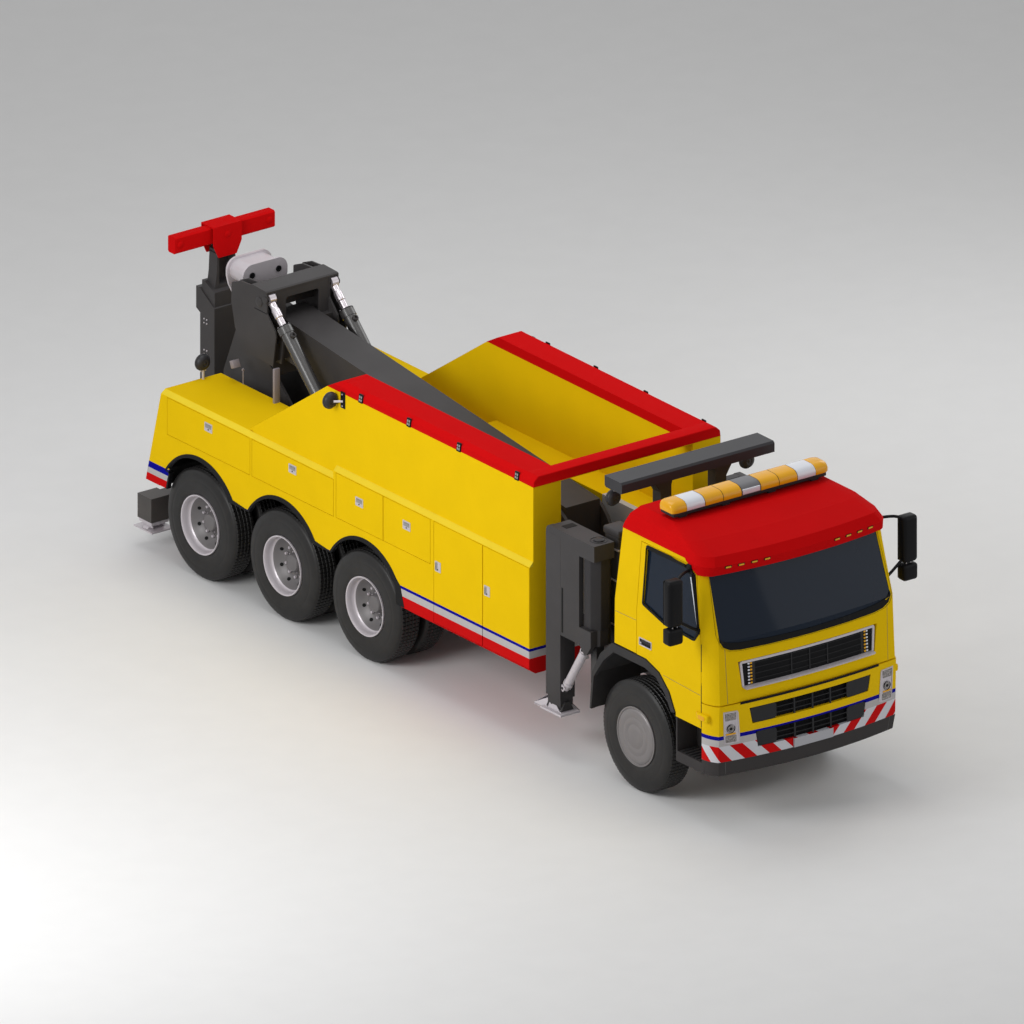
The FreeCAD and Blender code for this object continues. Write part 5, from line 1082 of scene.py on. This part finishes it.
def makeArches(label, side, out):
    bm = bmesh.new()
    addStrip(bm, [[at(side * bodyTrim["archX"], y, z) for y, z in pair] for pair in archPath()], out * -0.05)
    finishPiece(f"arch_rim_{label}", bm, "root", "black")
    bm = bmesh.new()  # carries the side on to the edge of the last arch
    addHull(bm, [at(side * x, y, z) for x in (1.246, 1.2745) for y, z in bodyTrim["archEnd"]])
    finishPiece(f"arch_end_{label}", bm, "root", "body")
    bm = bmesh.new()
    addStrip(bm, [[at(side * x, y, z) for x in (0.540, 1.240)] for y, z in bodyTrim["lining"]], forward(0.006))
    for x in bodyTrim["bolts"]:
        addSideTube(bm, side, (x, 8.045, 1.215), {1: 8.037}, 0.009, segments=6)
    finishPiece(f"arch_lining_{label}", bm, "root", "rubber")


def makeBodyLamps(label, side, out):
    low, high = bodyTrim["capLampHigh"]
    node = f"body_{label}"
    bm = bmesh.new()
    for y in bodyTrim["capLamps"]:
        addSheet(bm, sideRectangle(y - 0.034, y + 0.034, low, high), 2, 0.3, onCap(node, side, 0.0), out * 0.012,
                 rounding=0.006)
        for foot in (low + 0.018, low + 0.052):
            for middle in (y - 0.014, y + 0.014):
                addSheet(bm, sideRectangle(middle - 0.010, middle + 0.010, foot, foot + 0.024), 2, 0.3,
                         onCap(node, side, 0.0115), out * 0.003, rounding=0.004, slot=1)
    finishPiece(f"cap_lamps_{label}", bm, "root", "black inset")
    bm = bmesh.new()  # rear lamp cluster, with its lenses side by side
    inner, outer = sorted((side * 0.900, side * 1.220))
    addSheet(bm, rectangle(inner, outer, 0.955, 1.055), 0, 0.2, onRear(node), forward(-0.016), rounding=0.010)
    for index in range(3):
        x = inner + 0.012 + 0.100 * index
        addSheet(bm, rectangle(x, x + 0.096, 0.966, 1.044), 0, 0.2, onRear(node, 0.0155), forward(-0.006),
                 rounding=0.008, slot=1 + (index if side > 0 else 2 - index))
    finishPiece(f"rear_lamps_{label}", bm, "root", "black white amber redLens")


def makeBodyTrim(label, side, out):
    makeArches(label, side, out)
    makeBodyLamps(label, side, out)


capEnd = {
    "inner": 0.8625, "outer": 1.2265, "section": ((1.2265, 2.8806), (1.2185, 2.942), (1.1645, 2.9905)),
    "start": 5.050, "top": (5.117, 2.9905), "fall": 0.5528,
    "slope": ((5.080, 2.860), (5.080, 2.8802), (5.3155, 2.8802), (6.660, 1.968), (6.545, 1.940)),
    "nose": ((1.2265, 2.872), (1.2265, 2.882), (1.2200, 2.943), (1.1655, 2.9935)), "noseY": (1.7185, 1.900),
}


def makeCapEnd(label, side, out):
    inner, (topY, topZ) = capEnd["inner"], capEnd["top"]
    corners = [(inner, 2.8806), *capEnd["section"], (inner, topZ)]
    ends = [(x, topY + (topZ - max(z, 2.88)) / capEnd["fall"], z) for x, z in corners]
    bm = bmesh.new()
    addHull(bm, [at(side * x, capEnd["start"], z) for x, z in corners] + [at(side * x, y, z) for x, y, z in ends])
    finishPiece(f"cap_end_{label}", bm, "root", "body", sharp=20.0)
    bm = bmesh.new()  # the sloping rear edge of the tall bin, down to the rear deck
    addHull(bm, [at(side * x, y, z) for x in (inner, capEnd["outer"]) for y, z in capEnd["slope"]])
    finishPiece(f"bin_slope_{label}", bm, "root", "body", sharp=20.0)


def makeCapNose():
    # one bar across the front of both caps, with an eased edge
    bm = bmesh.new()
    addHull(bm, [at(side * x, y, z) for side in (-1, 1) for x, z in capEnd["nose"] for y in capEnd["noseY"]], 0.010)
    finishPiece("cap_nose", bm, "root", "body")


lamp = {
    # distance along and radius, from the dome in front to the lens behind
    "housing": ((-0.052, 0.0), (-0.052, 0.014), (-0.047, 0.020), (-0.047, 0.030), (-0.051, 0.036), (-0.047, 0.056),
                (-0.036, 0.075), (-0.018, 0.086), (-0.012, 0.088), (-0.010, 0.093), (0.010, 0.094), (0.016, 0.091),
                (0.016, 0.080), (0.008, 0.078), (0.008, 0.0)),
    "lens": ((0.008, 0.078), (0.014, 0.076), (0.022, 0.058), (0.027, 0.031), (0.029, 0.0)),
    "screw": ((0, 0.004), (0.003, 0.004), (0.003, 0.0)), "screwCircle": 0.0855,
    "side": (1.308, 5.157, 2.788), "gantry": (0.874, 0.798, 2.985), "deck": (0.755, 8.120, 2.138),
}


def makeWorkLamps():
    back = (0, 1, 0)
    bm = bmesh.new()
    for side in (-1, 1):
        for x, y, z in (lamp["side"], lamp["gantry"], lamp["deck"]):
            centre = at(side * x, y, z)
            addTurned(bm, lamp["housing"], centre, back)
            addTurned(bm, lamp["lens"], centre, back, slot=1)
            for turn in range(4):  # screws around the rim
                angle, radius = math.radians(45 + 90 * turn), lamp["screwCircle"]
                spot = centre + Vector((radius * math.cos(angle), 0.015, radius * math.sin(angle)))
                addTurned(bm, lamp["screw"], spot, back, steps=10, slot=2)
        addSideBox(bm, side, (1.222, 1.236), (5.000, 5.076), (2.718, 2.902), 0.004, slot=3)  # bracket on the bin
        addSideTube(bm, side, (1.230, 5.038, 2.795), {0: 1.300, 1: 5.105, 2: 2.790}, 0.013, slot=2)
        for high in (2.745, 2.875):
            addSideTube(bm, side, (1.234, 5.038, high), {0: 1.243}, 0.009, segments=6, slot=2)
        x, y, z = lamp["gantry"]
        addSideTube(bm, side, (x, y - 0.020, z + 0.060), {2: 3.150}, 0.014, slot=2)
        addSideBox(bm, side, (x - 0.030, x + 0.030), (y - 0.060, y + 0.020), (3.134, 3.146), 0.003, slot=3)
        x, y, z = lamp["deck"]
        addSideTube(bm, side, (x, y - 0.012, 1.900), {2: z - 0.060}, 0.014, slot=2)
        addSideTube(bm, side, (x + 0.035, y - 0.012, 2.050), {0: x - 0.035}, 0.010, segments=12, slot=2)
    finishPiece("work_lamp_set", bm, "root", "lampBody lens silver black",
                replaces=("work_lights",), sharp=40.0)


for make in (makeHandles, makeBodyTrim, makeCapEnd):
    bothSides(make)
makeCapNose()
makeWorkLamps()
print("body")


gear = {
    "eyeX": 0.407, "base": (5.680, 1.300), "rodEye": (7.404, 2.996), "barrel": 0.072, "length": 2.080,
    "port": ((0, 0.034), (0.026, 0.034), (0.034, 0.028), (0.034, 0.017), (0.016, 0.015), (0.016, 0.0)),
    "plug": ((0, 0.026), (0.018, 0.026), (0.020, 0.0)),
    "gland": ((-0.010, 0.082), (0, 0.082), (0.004, 0.058), (0.004, 0.0395), (-0.01, 0.0395)),
    "taper": ((-0.235, 0.0385), (-0.225, 0.046), (-0.140, 0.046), (-0.110, 0.038), (-0.050, 0.030), (0.0, 0.026)),
    "sheavePins": (0.173, 3.003), "sheaveFaces": (8.030, 8.330),
    "sheavePin": ((-0.002, 0.034), (0.008, 0.034), (0.011, 0.030), (0.011, 0.012), (0.007, 0.010), (0.007, 0.0)),
    "bossX": 0.470, "boss": ((-0.002, 0.054), (0.006, 0.054), (0.012, 0.046), (0.015, 0.030), (0.016, 0.0)),
    # line of the crease along the side plate, drawn as painted shade
    "seam": ((7.376, 2.850), (7.593, 2.852)),
    "eyeBoss": ((-0.002, 0.040), (0.010, 0.040), (0.014, 0.034), (0.014, 0.0)),
    "pivot": ((-0.002, 0.085), (0.012, 0.085), (0.018, 0.076), (0.018, 0.030), (0.012, 0.026), (0.012, 0.0)),
    "armBolts": (1.20, 1.55, 1.90, 2.25), "armY": 8.80,
    "bores": (-0.584, 0.0, 0.584), "boreHigh": 3.222, "boreClear": 0.05,
    "boreCap": ((-0.004, 0.036), (0.004, 0.036), (0.007, 0.031), (0.007, 0.0)),
}


def makeCylinders():
    (y0, z0), (y1, z1) = gear["base"], gear["rodEye"]
    run = Vector((0, y1 - y0, z1 - z0)).normalized()
    rise = Vector((0, -run.z, run.y))  # square to the cylinder, forwards and up
    skin = rise * (gear["barrel"] - 0.004)
    bm = bmesh.new()
    for side in (-1, 1):
        base = at(side * gear["eyeX"], y0, z0)
        head = base + run * gear["length"]
        addTurned(bm, gear["port"], head - run * 0.145 + skin, rise, steps=24)
        addTurned(bm, gear["plug"], base + run * 0.32 + skin, rise, steps=24)
        addTurned(bm, gear["gland"], head + run * 0.002, run, steps=40, slot=1)
        boltRing(bm, head + run * 0.003, run, 0.066, 8, head=0.007, slot=2)
    finishPiece("barrel_fittings", bm, "lift_barrels", "dark black silver")
    bm = bmesh.new()
    across = Vector((0.047, 0, 0))
    for side in (-1, 1):  # taper of each rod into its eye, and the pin through it
        eye = at(side * gear["eyeX"], y1, z1)
        addTurned(bm, gear["taper"], eye, run, steps=32)
        addTube(bm, eye - across, eye + across, 0.031, slot=1)
    finishPiece("rod_ends", bm, "lift_rods", "steel black")


def makeBoomTrim():
    bm = bmesh.new()
    x, z = gear["sheavePins"]
    for side in (-1, 1):
        for y, run in zip(gear["sheaveFaces"], (-1, 1)):
            addTurned(bm, gear["sheavePin"], at(side * x, y, z), (0, run, 0), steps=28)
    finishPiece("sheave_pins", bm, "boom", "black")
    bm = bmesh.new()
    for side in (-1, 1):
        x, out = side * gear["bossX"], Vector((side, 0, 0))
        addTurned(bm, gear["boss"], at(x, 7.509, 2.943), out, steps=32)
        # crease line along the side plate: a thin black strip, painted shade in the crease
        addSheet(bm, strip(*gear["seam"], 0.007), 1, 1.0, onPlane(side * 0.4695), out * 0.003, slot=1)
        addTurned(bm, gear["eyeBoss"], at(x, *gear["rodEye"]), out, steps=28)
    finishPiece("boom_bosses", bm, "boom", "dark black")
    bm = bmesh.new()
    for side in (-1, 1):  # bright strips and lugs beside the frame
        addSideBox(bm, side, (0.500, 0.575), (7.105, 7.135), (1.900, 2.335), 0.004)
        addSideBox(bm, side, (0.500, 0.508), (7.738, 7.750), (1.930, 2.130), 0.002)
        x = side * 0.545
        addBox(bm, at(x - 0.045, 7.800, 2.120), at(x + 0.045, 7.860, 2.205), 0.006,
               turn=Matrix.Rotation(math.radians(-24), 3, "X"))
        addSideTube(bm, side, (0.500, 7.740, 2.115), {0: 0.520}, 0.012, segments=6)
    finishPiece("frame_strips", bm, "root", "strip")
    bm = bmesh.new()
    joints = {joint["name"]: joint for joint in frame["record"]["behaviour"]["joints"]}
    _, y, z = Vector(joints["boom_lift"]["pos_m"])
    reach = outsideX("recovery_frame", y, z, 1)
    for side in (-1, 1):  # heads of the boom's pivot pin
        addTurned(bm, gear["pivot"], Vector((side * reach, y, z)), (side, 0, 0))
        boltRing(bm, Vector((side * (reach + 0.016), y, z)), (side, 0, 0), 0.055, 6, slot=1)
    finishPiece("pivot_heads", bm, "root", "dark silver")


def makeUnderliftTrim():
    bm = bmesh.new()
    y = frontAxle + gear["armY"]
    for side in (-1, 1):  # bolt heads down the sides of the arm
        for z in gear["armBolts"]:
            boltRing(bm, Vector((outsideX("underlift_arm", y, z, side), y, z)), (side, 0, 0), 0.032, 4, head=0.009)
    finishPiece("arm_bolts", bm, "underlift_arm", "silver")
    bm = bmesh.new()
    low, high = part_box("crossbar")
    z = gear["boreHigh"]
    for face, run in ((low[1], -1), (high[1], 1)):  # caps over the bar's bores
        for x in gear["bores"]:
            spot = hit("crossbar", (x + gear["boreClear"], run * probe["past"], z), (0, -run, 0))
            addTurned(bm, gear["boreCap"], Vector((x, spot.y if spot else face, z)), (0, run, 0), steps=28)
    finishPiece("crossbar_caps", bm, "crossbar", "red")


makeCylinders()
makeBoomTrim()
makeUnderliftTrim()
print("recovery gear")


leg = {
    "pin": (1.085, 0.789), "strutLow": (1.225, 0.748), "strutHigh": (0.845, 1.345), "strutX": 1.188,
    "column": (0.134, 1.586, 0.794), "lid": (1.090, 0.760),
    "washer": ((-0.003, 0.096), (0.0015, 0.096), (0.003, 0.093), (0.003, 0.088), (-0.002, 0.088)),
    "bolt": ((-0.006, 0.060), (0.010, 0.060), (0.014, 0.054), (0.014, 0.0)),
    "shoe": ((1.000, 1.245), (1.205, 1.690), (0.462, 0.486)), "gusset": 0.612,
    "lug": ((8.440, 0.255), (8.640, 0.255), (8.570, 0.375), (8.510, 0.375)), "lugs": (1.000, 1.150),
}


def octagon(x, y, half, z):
    cut = half * math.tan(math.radians(22.5))
    corners = ((half, -cut), (half, cut), (cut, half), (-cut, half), (-half, cut), (-half, -cut), (-cut, -half),
               (cut, -half))
    return [at(x + a, y + b, z) for a, b in corners]


def makeColumn(label, side, out):
    x, y = leg["lid"]
    half, foot, high = leg["column"]
    bm = bmesh.new()
    addPlate(bm, octagon(side * leg["pin"][0], leg["pin"][1], half, foot), Vector((0, 0, high)), 0.004)
    addTurned(bm, leg["washer"], at(side * x, y, 2.5655), (0, 0, 1), steps=44)
    addTurned(bm, leg["bolt"], at(side * x, y, 2.5645), (0, 0, 1), steps=30)
    # slot in the top: a thin black sheet flush with it, painted shade standing in for the recess
    addSideBox(bm, side, (1.020, 1.165), (1.225, 1.315), (2.550, 2.5668), slot=1)
    addSheet(bm, sideRectangle(1.172, 1.200, 1.425, 1.930), 2, 1.0, onPlane(side * 1.2488), out * 0.0012, slot=1)
    finishPiece(f"outrigger_column_{label}", bm, f"outrigger_{label}", "column rubber")


def makeRam(label, side, out):
    start, end = (at(side * leg["strutX"], *leg[key]) for key in ("strutHigh", "strutLow"))
    length = (end - start).length
    run = (end - start).normalized()
    across = Vector((0, -run.z, run.y)) * 0.034
    through = Vector((0.054, 0, 0))
    bm = bmesh.new()
    addTurned(bm, ((0.02, 0.0), (0.02, 0.036), (0.070, 0.036), (0.072, 0.047), (length - 0.14, 0.047),
                   (length - 0.138, 0.054), (length - 0.105, 0.054), (length - 0.103, 0.038),
                   (length - 0.03, 0.038), (length - 0.03, 0.0)), start, run)
    for spot in (start + run * 0.022, end - run * 0.050):
        for shift in (-0.051, 0.039):  # two cheeks and the pin through them
            foot, head = (spot + Vector((shift, 0, 0)) + run * along for along in (-0.030, 0.035))
            addPlate(bm, [foot - across, foot + across, head + across * 0.75, head - across * 0.75],
                     Vector((0.012, 0, 0)), 0.003)
        addTube(bm, spot - through, spot + through, 0.016, segments=20, slot=1)
    finishPiece(f"outrigger_ram_{label}", bm, f"outrigger_{label}", "silver black")


def makeShoe(label, side, out):
    xs, (y0, y1), (z0, z1) = leg["shoe"]
    low, high = sorted(side * x for x in xs)
    middle, hub = (low + high) / 2, (y0 + y1) / 2
    bm = bmesh.new()
    addBox(bm, at(low, y0, z0), at(high, y1, z1), 0.004)
    corners = [at(x, y, z1 - 0.001) for x, y in ((low, y0), (high, y0), (high, y1), (low, y1))]
    heads = ((middle, 1.330), (high - 0.055, hub), (middle, y1 - 0.150), (low + 0.055, hub))
    for index, (x, y) in enumerate(heads):  # a sloping triangle on each side of the post
        addPlate(bm, [corners[index], corners[(index + 1) % 4], at(x, y, leg["gusset"])], Vector((0, 0, -0.012)),
                 0.0015, 1)
    addTube(bm, at(middle - 0.100, 1.415, 0.560), at(middle + 0.100, 1.415, 0.560), 0.018, segments=20, slot=1)
    finishPiece(f"outrigger_shoe_{label}", bm, f"outrigger_leg_{label}", "silver black")


def makeLugs(label, side, out):
    bm = bmesh.new()  # lugs of the rear leg's foot
    for x in leg["lugs"]:
        addPlate(bm, [at(side * x, y, z) for y, z in leg["lug"]], out * 0.014, 0.003)
    addSideTube(bm, side, (0.985, 8.540, 0.335), {0: 1.180}, 0.015, segments=18, slot=1)
    finishPiece(f"rear_leg_lugs_{label}", bm, "rear_legs", "silver black")


def makeLegs(label, side, out):
    for make in (makeColumn, makeRam, makeShoe, makeLugs):
        make(label, side, out)


def makeIntake():
    bm = bmesh.new()  # air intake behind the cab, with its cap and clamps
    addBox(bm, at(-0.882, 0.700, 1.300), at(-0.680, 0.935, 2.560), 0.018, 3)
    addBox(bm, at(-0.896, 0.680, 2.545), at(-0.662, 0.955, 2.630), 0.022, 3)
    for z in (1.55, 2.05, 2.40):
        addBox(bm, at(-0.888, 0.694, z), at(-0.674, 0.941, z + 0.022), 0.004, slot=1)
    finishPiece("intake_stack", bm, "root", "dark silver")


bothSides(makeLegs)
makeIntake()
print("outriggers")


seat = {
    "x": 0.55, "cells": 36, "pull": 0.035, "power": 2.6, "sharpness": 6, "channel": (0.30, 0.035),
    "bolster": (0.62, 0.22, 0.030), "wheel": (0.55, -0.790, 2.230), "tilt": 28, "rim": 0.215, "spoke": 0.208,
    "post": 0.26, "spokes": (-90, 30, 150),
    "boss": ((-0.02, 0.0), (-0.02, 0.060), (0.015, 0.062), (0.028, 0.045), (0.030, 0.0)),
}


def makeCushion(name, centre, size, lean, channels, replaces=()):
    # a crowned pad, x across, y deep and z thick, whose sides pull in between its corners
    bm = bmesh.new()
    half = Vector(size) / 2
    turn = Matrix.Rotation(math.radians(lean), 3, "X")
    pull, (depth, spread), (place, dent, narrow) = seat["pull"], seat["channel"], seat["bolster"]

    def edge(share):
        return max(1 - abs(share) ** seat["sharpness"], 0) ** (1 / seat["power"])

    def spot(u, v, sign=0):
        crown = 0.62 + 0.38 * (1 - u * u) * (1 - v * v)
        for channel in channels:
            crown *= 1 - depth * math.exp(-((v - channel) / spread) ** 2)
        crown *= 1 - dent * math.exp(-((abs(u) - place) / narrow) ** 2)
        return centre + turn @ Vector((half.x * u * (1 - pull * (1 - v * v)), half.y * v * (1 - pull * (1 - u * u)),
                                       sign * half.z * edge(u) * edge(v) * crown))

    count = seat["cells"]
    shares = [-1 + 2 * step / count for step in range(count + 1)]
    for sign in (-1, 1):
        grid = [[bm.verts.new(spot(u, v, sign)) for u in shares] for v in shares]
        for lower, upper in zip(grid, grid[1:]):
            for column in range(count):
                bm.faces.new((lower[column], lower[column + 1], upper[column + 1], upper[column]))
    piece = finishPiece(name, bm, "root", "cloth", replaces=replaces, sharp=180.0)
    seam = [spot(u, v) for u, v in roundTrip()]
    makeRods(f"{name}_seam", (seam,), 0.005, "root", "trim", closed=True)


def roundTrip():
    # once around a square, with its corners a little rounded
    turns = [Matrix.Rotation(math.tau / 4 * side, 2) for side in range(4)]
    return [tuple(turn @ Vector((0.985, 0.23 * step))) for turn in turns for step in range(-4, 5)]


def makeSeat(label, side, out):
    x = side * seat["x"]
    makeCushion(f"seat_pad_{label}", at(x, -0.215, 1.965), (0.52, 0.50, 0.150), 5.0, (-0.30, 0.20, 0.62),
                replaces=("seats",))
    makeCushion(f"seat_back_{label}", at(x, 0.055, 2.270), (0.50, 0.56, 0.130), 78.0, (-0.5, -0.1, 0.35))
    makeCushion(f"head_rest_{label}", at(x, 0.112, 2.605), (0.27, 0.17, 0.100), 80.0, ())
    bm = bmesh.new()
    addBox(bm, at(x - 0.20, -0.42, 1.66), at(x + 0.20, -0.02, 1.74), 0.02, 3)
    addBox(bm, at(x - 0.16, -0.36, 1.73), at(x + 0.16, -0.06, 1.895), 0.03, 3)
    addBox(bm, at(x - 0.23, -0.44, 1.875), at(x + 0.23, 0.03, 1.905), 0.012, 3)
    for post in (x - 0.07, x + 0.07):
        addTube(bm, at(post, 0.095, 2.50), at(post, 0.108, 2.57), 0.008, segments=14, slot=1)
    finishPiece(f"seat_base_{label}", bm, "root", "trim silver")


def makeSteeringWheel():
    centre = at(*seat["wheel"])
    tilt = Matrix.Rotation(math.radians(seat["tilt"]), 3, "X")

    def around(radius, turn):
        return centre + tilt @ Vector((radius * math.cos(turn), radius * math.sin(turn), 0))

    rim = [around(seat["rim"], step * math.tau / 24) for step in range(24)]
    makeRods("steering_rim", (rim,), 0.014, "root", "black", closed=True)
    bm = bmesh.new()
    addTurned(bm, seat["boss"], centre, tilt @ Vector((0, 0, 1)), steps=32)
    for spoke in seat["spokes"]:
        addTube(bm, centre, around(seat["spoke"], math.radians(spoke)), 0.012)
    addTube(bm, centre, centre + tilt @ Vector((0, 0, -seat["post"])), 0.028)
    finishPiece("steering_boss", bm, "root", "black")


bothSides(makeSeat)
makeSteeringWheel()
print("seats")
